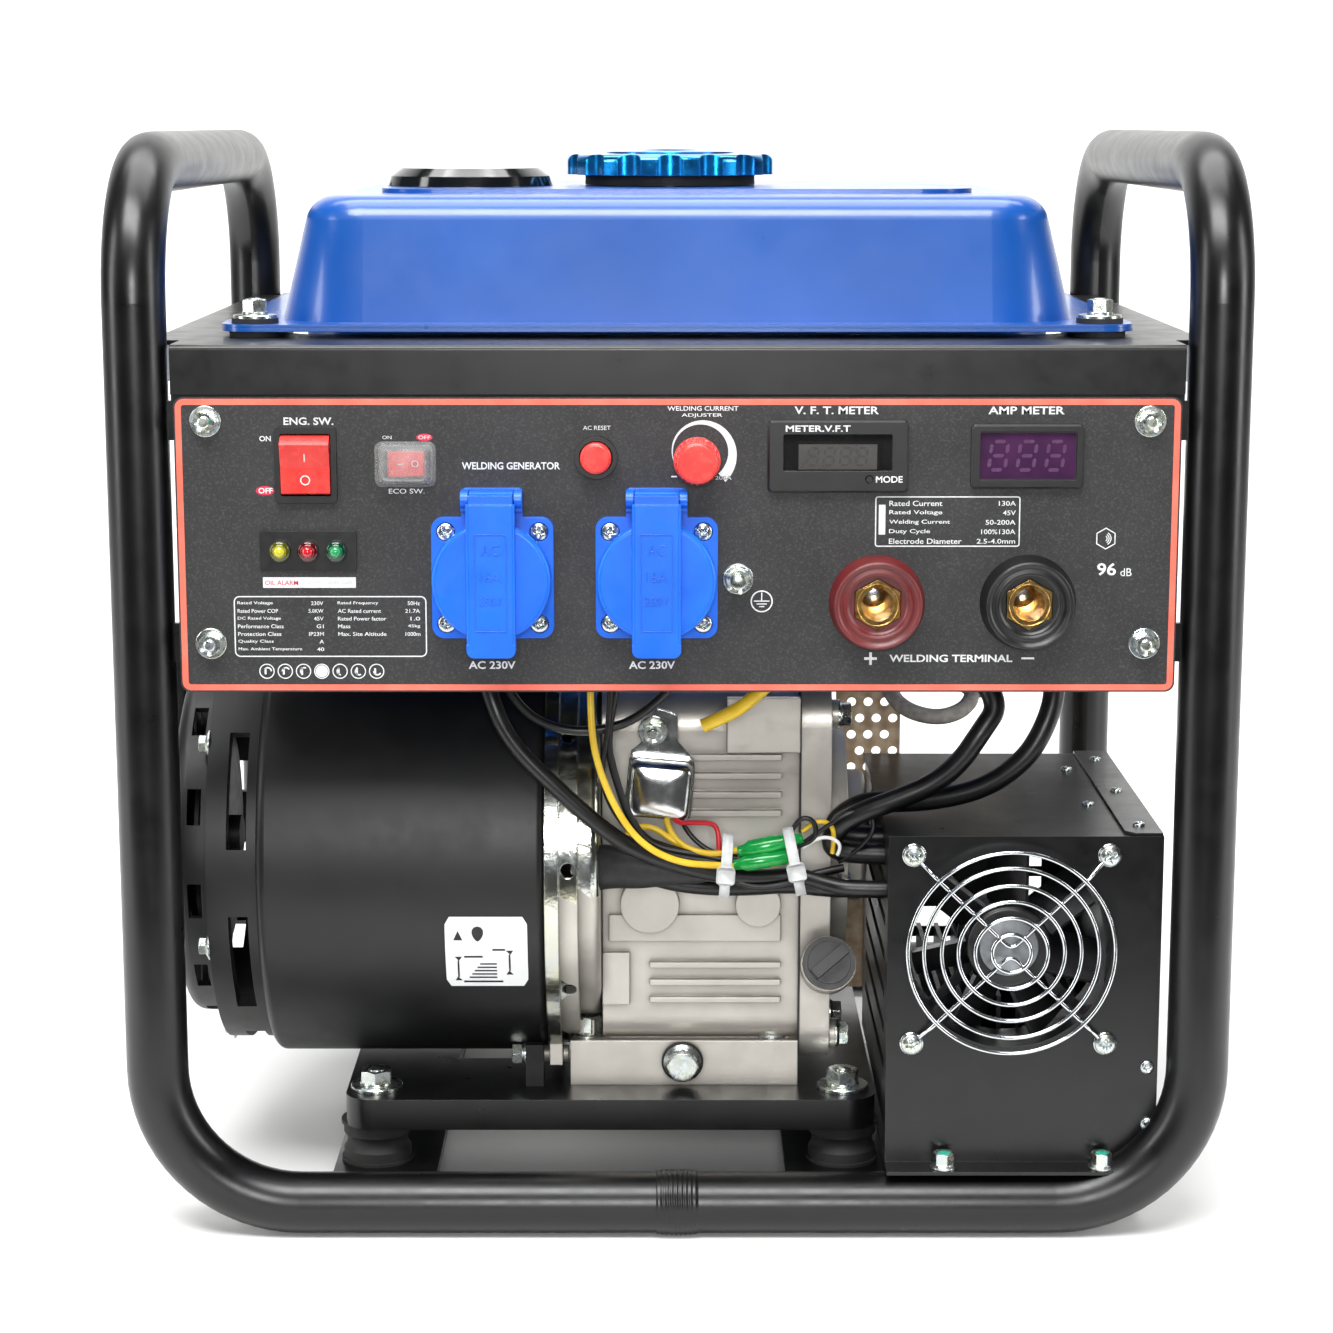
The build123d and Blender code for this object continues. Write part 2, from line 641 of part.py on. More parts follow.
def weld_terminal_insert(x, z):
    """The brass socket of a weld terminal, with its key slot at the top."""
    insert = hexagon_y(x, (terminal_front + 2.6, panel_front + 2), z, 18.4)
    insert += rod_y(x, (panel_front + 2, panel_front + 30), z, 9.5)
    bore_back = terminal_front + 2.6 + 28
    insert -= rod_y(x, (terminal_front, bore_back), z, terminal_bore)
    return insert - block((x - 2.2, x + 2.2), (terminal_front, bore_back - 14), (z, z + 8.6))


def earth_bolt():
    """The earthing screw with its washers and the nut behind the panel."""
    x, z = earth_at
    bolt = rod_y(x, (panel_front - 1.4, panel_front), z, 6.2)
    bolt += hexagon_y(x, (panel_front - 6.2, panel_front - 1.4), z, 10)
    bolt += rod_y(x, (panel_front, panel_front + 14), z, 3.0)
    return bolt + hexagon_y(x, (panel_front + panel_sheet, panel_front + 7), z, 10)


# ---------------------------------------------------------------- inverter case and its fan

def inverter_case():
    """The folded steel case of the inverter, with mounting flanges and the fan opening."""
    front = case_y[0]
    plate = block((case_x[0] - 1, case_flange_x), (front, front + case_sheet), (case_flange_z, case_z[1]))
    case = block(case_x, (front, case_y[1]), case_z)
    inner_x = (case_x[0] + case_sheet, case_x[1] - case_sheet)
    inner_z = (case_z[0] + case_sheet, case_z[1] - case_sheet)
    case -= block(inner_x, (front + case_sheet, case_y[1] + 1), inner_z)
    case += plate
    case += block((case_x[0] - 1, case_flange_x), (front, case_y[1]), (case_z[1] - case_sheet, case_z[1]))
    case += block((case_x[1], case_flange_x), (front, case_y[1]), (40, 41.5))
    foot_z = (case_flange_z, case_flange_z + case_sheet)
    case += block((case_x[0] - 1, case_flange_x), (front - 13, case_y[1]), foot_z)
    case -= rod_y(fan_at[0], (front - 1, front + 3), fan_at[1], fan_radius)
    for dx in (-fan_screw, fan_screw):
        for dz in (-fan_screw, fan_screw):
            case -= rod_y(fan_at[0] + dx, (front - 1, front + 3), fan_at[1] + dz, 2.2)
    for i in range(6):
        case -= block((case_x[0] - 2, case_x[0] + 2), (-150, -30), (62 + 16 * i, 67 + 16 * i))
    return case


def inverter_stand():
    """The folded stand that carries the inverter case, welded to the right cross-member."""
    stand = block((96, 204), (-166, -20), (18, 20)) + block((96, 98), (-166, -20), (12.2, 20))
    for y in (-150, -40):
        stand += block((100, 200), (y, y + 12), (18, case_flange_z - 0.01))
    return stand


def inverter_heatsink():
    """The finned aluminium base of the inverter board."""
    sink = block((97, 186), (-140, -18), (52, 58))
    for i in range(11):
        fin = 98 + 8.4 * i
        sink += block((fin, fin + 2), (-140, -18), (58, 92))
    return sink


def cooling_fan_frame():
    """The square frame of the cooling fan with its motor boss and four struts."""
    x, z = fan_at
    y = (case_y[0] + case_sheet, case_y[0] + case_sheet + 25)
    frame = plate_y(x, y, z, 92, 92, 5) - rod_y(x, (y[0] - 1, y[1] + 1), z, fan_radius)
    frame += rod_y(x, (y[1] - 2.5, y[1]), z, 20)
    for turn in range(4):
        strut = block((-2, 2), (y[1] - 2.5, y[1]), (18, fan_radius + 0.5))
        frame += Pos(x, 0, z) * Rot(0, 45 + 90 * turn, 0) * strut
    for dx in (-fan_screw, fan_screw):
        for dz in (-fan_screw, fan_screw):
            frame -= rod_y(x + dx, (y[0] - 1, y[1] + 1), z + dz, 2.2)
    return frame + rod_y(x, (y[1] - 16, y[1] - 2), z, 2.0)


def cooling_fan_rotor():
    """The fan's hub and seven pitched blades on the motor's pin."""
    x, z = fan_at
    y = (case_y[0] + case_sheet + 2, case_y[0] + case_sheet + 21.5)
    hub = fillet(rod_y(0, y, 0, 18).edges().sort_by(Axis.Y)[:1], 2)
    middle = (y[0] + y[1]) / 2
    blade = Pos(0, middle, 29.5) * Rot(0, 0, 42) * Box(2.0, 22, 24.2)
    blade &= rod_y(0, (y[0], y[1]), 0, 41.2)
    for i in range(7):
        hub += Rot(0, i * 360 / 7, 0) * blade
    return Pos(x, 0, z) * (hub - rod_y(0, (y[1] - 14, y[1] + 1), 0, 2.0 + running_gap))


def fan_guard():
    """The welded wire guard: six rings on two bent wires, with an eye at each corner screw."""
    wire = 0.95
    x, z = fan_at
    ring_y = case_y[0] - 6.0
    bar_y = ring_y + 1.7
    guard = None
    for tip, side in ((2.4, 1), (-2.4, -1)):
        corners = [
            (x - fan_screw, case_y[0] - wire, z + side * fan_screw),
            (x - fan_screw + 3.6, case_y[0] - wire, z + side * (fan_screw - 3.2)),
            (x - fan_screw + 7.0, bar_y, z + side * (fan_screw - 6.4)),
            (x - 1.5, bar_y, z + tip),
            (x + 1.5, bar_y, z + tip),
            (x + fan_screw - 7.0, bar_y, z + side * (fan_screw - 6.4)),
            (x + fan_screw - 3.6, case_y[0] - wire, z + side * (fan_screw - 3.2)),
            (x + fan_screw, case_y[0] - wire, z + side * fan_screw),
        ]
        route = FilletPolyline(*corners, radius=1.2)
        bar = sweep(Plane(route @ 0, z_dir=route % 0) * Circle(wire), route)
        guard = bar if guard is None else guard + bar
    for radius in (8.2, 15.4, 22.5, 29.5, 37.0, 43.8):
        guard += Pos(x, ring_y, z) * Rot(90, 0, 0) * Torus(radius, wire)
    for dx in (-fan_screw, fan_screw):
        for dz in (-fan_screw, fan_screw):
            eye = rod_y(x + dx, (case_y[0] - 1.9, case_y[0]), z + dz, 4.6)
            screw = rod_y(x + dx, (case_y[0] - 3.6, case_y[0] - 1.9), z + dz, 4.0)
            guard += eye + fillet(screw.edges().sort_by(Axis.Y)[:1], 1.2)
    return guard


# ---------------------------------------------------------------- engine

def leaning(shape):
    """Place a shape drawn along Z about the crankshaft onto the leaning cylinder axis."""
    return Pos(cylinder_x, shaft_y, shaft_z) * Rot(-cylinder_lean, 0, 0) * shape


def crankcase():
    """The cast crankcase with its foot and the finned cylinder in one piece, open at the right."""
    case = block((-33, 54), (-118, 4), (60, 222))
    case = fillet(case.edges().filter_by(Axis.X), 16)
    case += block((-47.5, 54), (-119, 30), (tray_top, 65))
    case += block((-30, 50), (-114, 24), (63, 76))
    for z in (83, 91, 99):
        case += block((-12, 46), (-120.5, -116), (z, z + 2.6))
    for i in range(4):
        case += block((2, 46), (-120.5, -116), (168 + 8.4 * i, 170.6 + 8.4 * i))
    case += block((22, 54), (-121.5, -116), (197, 221)) + block((-33, -21), (-120.5, -116), (82, 106))
    case += block((-30, 46), (-119.6, -116), (111, 123))
    case += rod_y(-12, (-121, -117), 128, 13) + rod_y(36, (-121, -117), 128, 10)
    case += leaning(block((-42, 42), (-42, 42), (58, 66)))
    case += leaning(rod_z(0, 0, (40, 132), bore_radius + 5))
    for i in range(7):
        fin = 70 + 8.6 * i
        case += leaning(plate_z(0, 0, (fin, fin + 2.4), 87, 100, 8))
    case -= block((-27, 55), (-110, -4), (70, 212))
    case -= leaning(rod_z(0, 0, (30, 133), bore_radius))
    case -= rod_x((-40, -20), shaft_y, shaft_z, 24)
    for x in (-40.5, 42.5):
        case += hexagon_z(x, -108, (65, 73), 12)
        case += hexagon_z(x, 20, (65, 73), 12)
    case += rod_y(2.5, (-121, -118), 55.6, 8.5) + hexagon_y(2.5, (-127, -121), 55.6, 12)
    return case


def crankcase_side_cover():
    """The cast cover on the right of the crankcase, with the oil filler neck and its bolts."""
    cover = block((54.6, 68), (-120, 6), (54, 226))
    cover = fillet(cover.edges().filter_by(Axis.X), 18)
    cover += rod_x((66, 76), shaft_y, shaft_z, 54)
    cover += rod_x((72, 86), shaft_y, shaft_z, 30)
    cover = fillet(cover.edges().filter_by(GeomType.CIRCLE).sort_by(Axis.X)[-1:], 3)
    cover -= rod_x((50, 78), shaft_y, shaft_z, 22)
    for y, z in ((-110, 212), (-114, 136), (-110, 66), (-4, 66), (0, 136), (-4, 212), (-58, 219), (-58, 60)):
        cover += rod_x((67, 71), y, z, 6.5) + rod_x((71, 76), y, z, 4.6)
    cover += Pos(*oil_filler) * Rot(68, 0, 0) * Cylinder(12.2, 16)
    return cover - Pos(*oil_filler) * Rot(68, 0, 0) * Cylinder(8.2, 60)


def oil_filler_plug():
    """The screw plug of the oil filler, with a cross grip, pointing forward and a little up."""
    head = Pos(0, 0, 8.2) * Cylinder(11.6, 4, align=(Align.CENTER, Align.CENTER, Align.MIN))
    head += Pos(0, 0, 12.2) * Cylinder(9.4, 1.6, align=(Align.CENTER, Align.CENTER, Align.MIN))
    grip = Pos(0, 0, 13.4) * Rot(0, 0, 40) * Box(18, 5, 7, align=(Align.CENTER, Align.CENTER, Align.MIN))
    stem = Pos(0, 0, -12) * Cylinder(7.8, 21, align=(Align.CENTER, Align.CENTER, Align.MIN))
    return Pos(*oil_filler) * Rot(68, 0, 0) * (head + grip + stem)


def cylinder_head():
    """The finned cylinder head with its valve cover, ports, head bolts and spark plug."""
    head = leaning(block((-40, 40), (-42, 42), (132.4, 150)))
    for i in range(4):
        fin = 134 + 8.4 * i
        head += leaning(plate_z(0, 0, (fin, fin + 2.6), 92, 98, 8))
    head += leaning(block((-34, 34), (-36, 36), (149, 164)))
    cover = leaning(plate_z(0, 0, (164, 196), 74, 82, 12))
    head += fillet(cover.faces().sort_by(Axis.Y)[-1].edges(), 6)
    head += leaning(rod_x((-62, -38), 0, 149, 15)) + leaning(rod_x((38, 60), 0, 149, 15))
    for x in (-30, 30):
        for y in (-34, 34):
            head += leaning(rod_z(x, y, (163, 168), 6))
    return head


def crank_train():
    """Crankshaft, connecting rod and piston at the top of the stroke."""
    throw = 27.0
    crank = rod_x((-168, -12 + cylinder_x), shaft_y, shaft_z, shaft_radius)
    crank += rod_x((12 + cylinder_x, 76), shaft_y, shaft_z, shaft_radius)
    for x in ((-24, -12), (12, 24)):
        web = block(x, (-20, 20), (-38, 34))
        crank += leaning(web)
    crank += leaning(rod_x((-13, 13), 0, throw, 15))
    rod = leaning(rod_x((-9, 9), 0, throw, 22) - rod_x((-10, 10), 0, throw, 15.2))
    rod += leaning(block((-6, 6), (-8, 8), (throw + 20, 97)))
    rod += leaning(rod_x((-8, 8), 0, 104, 11) - rod_x((-9, 9), 0, 104, 6.2))
    piston = leaning(rod_z(0, 0, (90, 126), bore_radius - 0.2) - rod_z(0, 0, (80, 119), bore_radius - 5))
    piston += leaning(rod_x((-bore_radius + 3, bore_radius - 3), 0, 104, 6))
    return [crank, rod, piston]


def muffler():
    """The pressed silencer above the inverter, with its tail pipe, heat shield and wrapped pipe."""
    drum = Rot(0, 90, 0) * extrude(RectangleRounded(74, 92, 26), 120)
    drum = fillet(drum.faces().sort_by(Axis.X)[0].edges() + drum.faces().sort_by(Axis.X)[-1].edges(), 6)
    silencer = Pos(75, 92, 234) * drum
    silencer += rod_y(165, (130, 158), 250, 11) - rod_y(165, (139, 159), 250, 9)
    shield = block((77, 108), (10, 11.5), (52, 232.5)) + block((84, 108), (10, 48), (231, 232.5))
    for i in range(8):
        for k in range(3):
            shield -= rod_y(84.5 + 8 * k + 4 * (i % 2), (9, 12.5), 162 + 8 * i, 2.2)
    return silencer + shield + exhaust_pipe()


def port_centre():
    """The middle of the inlet and exhaust ports of the head, as a Y and a Z."""
    lean = radians(cylinder_lean)
    return shaft_y + 149 * sin(lean), shaft_z + 149 * cos(lean)


def exhaust_pipe():
    """The wrapped pipe, from the exhaust port round in front of the silencer and into it."""
    y, z = port_centre()
    corners = [(cylinder_x + 60.3, y, z), (98, y, z), (112, 22, 208), (146, 22, 208), (150, 56, 218)]
    route = FilletPolyline(*corners, radius=[16, 16, 14])
    return sweep(Plane(route @ 0, z_dir=route % 0) * Circle(11), route)


def air_cleaner():
    """The moulded air cleaner behind the generator: box, cover and the duct to the carburettor."""
    y, z = port_centre()
    box = plate_y(-126, (60, 104), 236, 96, 104, 14)
    cover = plate_y(-126, (104.5, 136), 236, 102, 110, 16)
    cover = fillet(cover.faces().sort_by(Axis.Y)[-1].edges(), 8)
    duct = rod_x((-80, -75.3), y + 1, z, 16)
    return box + cover + plate_y(-126, (103, 106), 236, 92, 100, 12) + duct


def carburettor():
    """The carburettor between the air cleaner and the inlet port, with its float bowl."""
    y, z = port_centre()
    body = rod_x((-75, cylinder_x - 62.3), y, z, 17)
    body += rod_z(-64, y, (z - 40, z), 11) + rod_z(-64, y, (z - 43, z - 39), 3.5)
    body += block((-68, -54), (y, y + 24), (z - 14, z + 20))
    return body - rod_y(-60, (y + 18, y + 30), z + 10, 2.6 + running_gap)


def choke_lever():
    """The choke lever on the back of the carburettor."""
    y, z = port_centre()
    lever = rod_y(-60, (y + 19, y + 28.5), z + 10, 2.6)
    lever += rod_y(-60, (y + 24.6, y + 28.5), z + 10, 6)
    lever += block((-63, -57), (y + 24.6, y + 27.5), (z + 10, z + 34))
    return lever + rod_y(-60, (y + 24.6, y + 30), z + 34, 5)


# ---------------------------------------------------------------- generator and starter

def generator_shell():
    """The pressed black drum round the generator, open towards the starter."""
    shell = rod_x(shell_ends, shaft_y, shaft_z, shell_radius)
    shell = fillet(shell.edges().filter_by(GeomType.CIRCLE), 4)
    shell -= rod_x((shell_ends[0] + 6, shell_ends[1] + 1), shaft_y, shaft_z, shell_radius - 3)
    shell -= rod_x((shell_ends[0] - 1, shell_ends[0] + 7), shaft_y, shaft_z, 66)
    return shell


def generator_end_plate():
    """The zinc plated stamped ring that closes the drum against the crankcase."""
    plate = rod_x((-57, -51), shaft_y, shaft_z, shell_radius + 2.5)
    plate += rod_x((-51.5, -43), shaft_y, shaft_z, shell_radius - 3)
    plate += rod_x((-43.5, -33.5), shaft_y, shaft_z, shell_radius - 12)
    plate = fillet(plate.edges().filter_by(GeomType.CIRCLE).sort_by(Axis.X)[-1:], 4)
    plate -= rod_x((-58, -46), shaft_y, shaft_z, shell_radius - 8)
    plate -= rod_x((-60, -36), shaft_y, shaft_z, shell_radius - 15)
    plate -= rod_x((-60, -30), shaft_y, shaft_z, 30)
    plate += block((-67.5, -59.5), (-121, -112), (tray_top, 60.5)) + rod_x((-60, -48), -112, 57, 3.8)
    plate += block((-67.5, -59.5), (-121, -116.5), (60, 63.6)) + rod_x((-73, -67), -112, 57, 3.8)
    plate += block((-56.6, -51), (-120, -104), (54, 70))
    plate -= block((-48.5, -30), (-122, 34), (tray_top - 5, 67))
    plate -= rod_z(-40.5, -108, (60, 75), 8.2)
    for i in range(10):
        turn = 2 * pi * i / 10 + 0.55
        hole = Pos(-47, shaft_y, shaft_z) * Rot(360 * i / 10 + 14, 0, 0) * Pos(0, 0, shell_radius)
        plate -= hole * Cylinder(3.2, 24)
        plate -= rod_x((-40, -30), shaft_y + 58 * cos(turn), shaft_z + 58 * sin(turn), 9)
    return plate


def stator_core():
    """The laminated stator with eighteen wound teeth, fixed to the end plate."""
    stator = rod_x((-128, -66), shaft_y, shaft_z, 40)
    for i in range(18):
        tooth = block((-124, -70), (-4, 4), (38, 66)) + block((-128, -66), (-9, 9), (66, 71.5))
        stator += Pos(0, shaft_y, shaft_z) * Rot(20 * i, 0, 0) * tooth
    stator &= rod_x((-130, -60), shaft_y, shaft_z, 71)
    stator += rod_x((-67, -33), shaft_y, shaft_z, 29)
    return stator - rod_x((-130, -20), shaft_y, shaft_z, 22)


def flywheel_rotor():
    """The flywheel cup with its magnets round the stator and its cooling fan at the left."""
    rotor = rod_x((-150, -72), shaft_y, shaft_z, 86) - rod_x((-142, -71), shaft_y, shaft_z, 74)
    rotor += rod_x((-150, -134), shaft_y, shaft_z, 20)
    for i in range(16):
        vane = block((-166, -149), (-1.5, 1.5), (44, 84))
        rotor += Pos(0, shaft_y, shaft_z) * Rot(22.5 * i, 0, 0) * vane
    rotor += rod_x((-172, -149), shaft_y, shaft_z, 34) - rod_x((-173, -152), shaft_y, shaft_z, 28)
    return rotor - rod_x((-180, -130), shaft_y, shaft_z, shaft_radius + running_gap)


def recoil_cover():
    """The starter cover: a ring of air windows and a domed cap with the pulley's post."""
    cover = rod_x((-198, -181.3), shaft_y, shaft_z, 92) - rod_x((-199, -180), shaft_y, shaft_z, 84)
    cover += rod_x((-203, -196.5), shaft_y, shaft_z, 92)
    cover += rod_x((-220, -202), shaft_y, shaft_z, recoil_radius)
    cover = fillet(cover.edges().filter_by(GeomType.CIRCLE).sort_by(Axis.X)[:1], 6)
    cover -= rod_x((-217, -180), shaft_y, shaft_z, recoil_radius - 3) - rod_x((-218, -200), shaft_y, shaft_z, 9)
    for i in range(7):
        window = block((-194, -185.5), (-26, 26), (76, 100))
        cover -= Pos(0, shaft_y, shaft_z) * Rot(360 * (i + 0.5) / 7 + 90, 0, 0) * window
    for i in range(12):
        gap = block((-213, -207), (-8, 8), (recoil_radius - 6, recoil_radius + 2))
        cover -= Pos(0, shaft_y, shaft_z) * Rot(30 * i + 8, 0, 0) * gap
    for i in range(18):
        slot = Pos(0, shaft_y, shaft_z) * Rot(20 * i, 0, 0) * block((-222, -205), (-3, 3), (52, 70))
        cover -= slot
    cover += rod_x((-223.5, -216), *rope_guide, 9)
    return cover - rod_x((-226, -214), *rope_guide, 3.2)


def recoil_pulley():
    """The starter's rope pulley on the cover's post."""
    pulley = rod_x((-214.5, -206.5), shaft_y, shaft_z, 50)
    pulley -= rod_x((-212.5, -208.5), shaft_y, shaft_z, 60) - rod_x((-213, -208), shaft_y, shaft_z, 43)
    return pulley - rod_x((-216, -200), shaft_y, shaft_z, 9 + running_gap)


def recoil_handle():
    """The starter's T grip with the first stretch of its rope in the guide."""
    grip = Pos(-228.5, *rope_guide) * fillet(Box(8.5, 17, 58).edges(), 3.4)
    return grip + rod_x((-228, -208), *rope_guide, 2.6)


# ---------------------------------------------------------------- electrical pieces at the engine

def regulator():
    """The finned charging regulator on its bracket, in front of the crankcase."""
    base = block((-23, 7), (-138, -122), (168, 197))
    for i in range(6):
        base -= block((-19.5 + 4.6 * i, -17.3 + 4.6 * i), (-139, -131), (166, 199))
    bracket = block((-20, 2), (-123.5, -121.5), (186, 216)) + block((-16, -4), (-122, -118.1), (200, 214))
    return base + bracket + hexagon_y(-10, (-128, -123), 206, 8)


def weld_cables():
    """The two heavy leads from the weld terminals, over the inverter's corner and into its side."""
    start = panel_front + 31.2
    side = case_x[0]
    plus = [
        (81.8, start, 274.6), (81.8, -147, 274), (98, -142, 258), (126, -142, 240), (138, -148, 224),
        (130, -152, 213), (121, -152, 199), (109, -151, 189), (93, -150, 182), (78, -148, 176),
        (70, -145, 170), (66, -142, 162), (71, -140, 156), (side, -140, 156),
    ]
    minus = [
        (143.8, start, 274.6), (143.8, -147, 273), (152, -142, 258), (161, -141, 242), (162, -145, 227),
        (157, -149, 213), (149, -150, 200), (134, -148, 188), (116, -145, 182), (97, -140, 179),
        (84, -137, 179), (74, -134, 174), (68, -131, 167), (72, -128, 161), (side, -128, 161),
    ]
    return [cable(plus, weld_cable_radius), cable(minus, weld_cable_radius)]


def wiring_harness():
    """The black cable, the loom and the yellow lead between the panel, the engine and the inverter."""
    side = case_x[0]
    black = [
        (-84, -150, 246), (-79, -157, 226), (-70, -158, 208), (-50, -159, 188), (-27, -157, 167),
        (-11, -154, 158), (13, -151, 150), (34, -148, 147), (52, -145, 148), (66, -151, 145), (74, -154, 144), (side, -154, 144),
    ]
    loom = [
        (-31.6, -131, 150), (-16, -137, 146), (4, -138, 141), (28, -134, 139), (50, -131, 140),
        (68, -131, 137.5), (side, -131, 137.5),
    ]
    yellow = [
        (-37, -154, 240), (-37, -158, 222), (-35, -160, 203), (-27, -162, 182), (-16, -162, 166),
        (0, -160, 157), (19, -157, 155), (34, -155, 154), (46, -153, 156),
    ]
    return [cable(black, loom_radius), cable(loom, loom_radius), cable(yellow, lead_radius)]


def main():
    os.makedirs("parts", exist_ok=True)
    write("frame_tube_left", frame_tube(-1))
    write("frame_tube_right", frame_tube(1))
    write("cross_members", *[cross_member(x) for x in cross_member_x], inverter_stand())
    write("rubber_mounts", *[rubber_mount(x, y) for x in mount_x for y in mount_y])
    write("engine_tray", engine_tray())
    write("top_plate", top_plate())
    write("control_box", control_box())
    write("front_panel", front_panel())
    write("panel_and_tray_bolts", *panel_bolts(), *tray_bolts())
    write("tank_upper_shell", tank_upper_shell())
    write("tank_lower_shell", tank_lower_shell())
    write("tank_bushes", *tank_bushes())
    write("tank_bolts", *tank_bolts())
    write("fuel_cap", fuel_cap())
    write("fuel_cap_gasket", fuel_cap_gasket())
    write("fuel_gauge_housing", fuel_gauge_housing())
    write("fuel_gauge_float", fuel_gauge_float())
    write("engine_switch_body", engine_switch_body())
    write("engine_switch_rocker", engine_switch_rocker())
    write("eco_switch_body", eco_switch_body())
    write("eco_switch_rocker", eco_switch_rocker())
    write("indicator_block", indicator_block())
    write("circuit_breaker", circuit_breaker())
    write("reset_button", reset_button())
    write("current_potentiometer", current_potentiometer())
    write("current_knob", current_knob())
    write("engine_meter", engine_meter())
    write("meter_mode_button", meter_mode_button())
    write("amp_meter", amp_meter())
    write("socket_bases", *[socket_base(x, z) for x, z in socket_centres])
    write("socket_lid_left", socket_lid(*socket_centres[0]))
    write("socket_lid_right", socket_lid(*socket_centres[1]))
    write("weld_terminal_positive", weld_terminal(*terminal_centres[0]))
    write("weld_terminal_negative", weld_terminal(*terminal_centres[1]))
    write("weld_terminal_inserts", *[weld_terminal_insert(x, z) for x, z in terminal_centres])
    write("earth_bolt", earth_bolt())
    write("inverter_case", inverter_case())
    write("inverter_heatsink", inverter_heatsink())
    write("cooling_fan_frame", cooling_fan_frame())
    write("cooling_fan_rotor", cooling_fan_rotor())
    write("fan_guard", fan_guard())
    write("crankcase", crankcase())
    write("crankcase_side_cover", crankcase_side_cover())
    write("oil_filler_plug", oil_filler_plug())
    write("cylinder_head", cylinder_head())
    write("crank_train", *crank_train())
    write("muffler", muffler())
    write("air_cleaner", air_cleaner())
    write("carburettor", carburettor())
    write("choke_lever", choke_lever())
    write("generator_shell", generator_shell())
    write("generator_end_plate", generator_end_plate())
    write("stator_core", stator_core())
    write("flywheel_rotor", flywheel_rotor())
    write("recoil_cover", recoil_cover())
    write("recoil_pulley", recoil_pulley())
    write("recoil_handle", recoil_handle())
    write("regulator", regulator())
    write("weld_cables", *weld_cables())
    write("wiring_harness", *wiring_harness())


main()
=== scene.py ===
import bmesh
import bpy
from math import cos, pi, radians, sin
from mathutils import Matrix, Vector


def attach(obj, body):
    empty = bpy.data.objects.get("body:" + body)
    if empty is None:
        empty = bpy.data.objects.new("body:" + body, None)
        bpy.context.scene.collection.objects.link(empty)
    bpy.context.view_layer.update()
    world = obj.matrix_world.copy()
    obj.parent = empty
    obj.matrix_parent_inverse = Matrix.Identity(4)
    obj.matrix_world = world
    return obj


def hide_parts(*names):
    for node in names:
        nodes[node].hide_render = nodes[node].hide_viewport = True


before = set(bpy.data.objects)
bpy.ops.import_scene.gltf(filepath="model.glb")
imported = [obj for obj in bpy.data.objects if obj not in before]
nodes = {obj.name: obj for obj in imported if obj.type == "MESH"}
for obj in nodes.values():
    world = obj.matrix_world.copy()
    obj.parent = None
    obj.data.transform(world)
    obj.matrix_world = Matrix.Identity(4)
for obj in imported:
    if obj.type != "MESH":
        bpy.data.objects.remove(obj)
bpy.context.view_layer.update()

# ------------------------------------------------------------------ camera
# A long lens a little above the control panel, looking down by ten degrees, so that the front
# stays square while the tops of the tank and of the inverter case can be seen.
eye = bpy.data.cameras.new("camera")
eye.lens = 80.8
eye.sensor_width = 36.0
eye.clip_start = 0.05
eye.clip_end = 30.0
camera = bpy.data.objects.new("camera", eye)
camera.location = (-0.0046, -1.3968, 0.4694)
camera.rotation_euler = (radians(79.657), 0, 0)
bpy.context.scene.collection.objects.link(camera)
bpy.context.scene.camera = camera

# ------------------------------------------------------------------ tube frame
# Two bent loops of 26 mm steel tube, welded to each other at the middle of the floor runs and
# sprayed with black powder that is baked to a satin skin. Flat bars tie the loops together.


def colour(code):
    """The linear colour of an sRGB hex value."""
    parts = [int(code[i:i + 2], 16) / 255 for i in (1, 3, 5)]
    return [c / 12.92 if c < 0.04045 else ((c + 0.055) / 1.055) ** 2.4 for c in parts] + [1]


def add(tree, kind, settings=None, links=None):
    """A node with its settings, by property or socket name, and its links from other nodes' sockets."""
    node = tree.nodes.new(kind)
    for key, value in (settings or {}).items():
        if isinstance(key, str) and hasattr(node, key):
            setattr(node, key, value)
        else:
            node.inputs[key].default_value = value
    for key, (source, output) in (links or {}).items():
        tree.links.new(source.outputs[output], node.inputs[key])
    return node


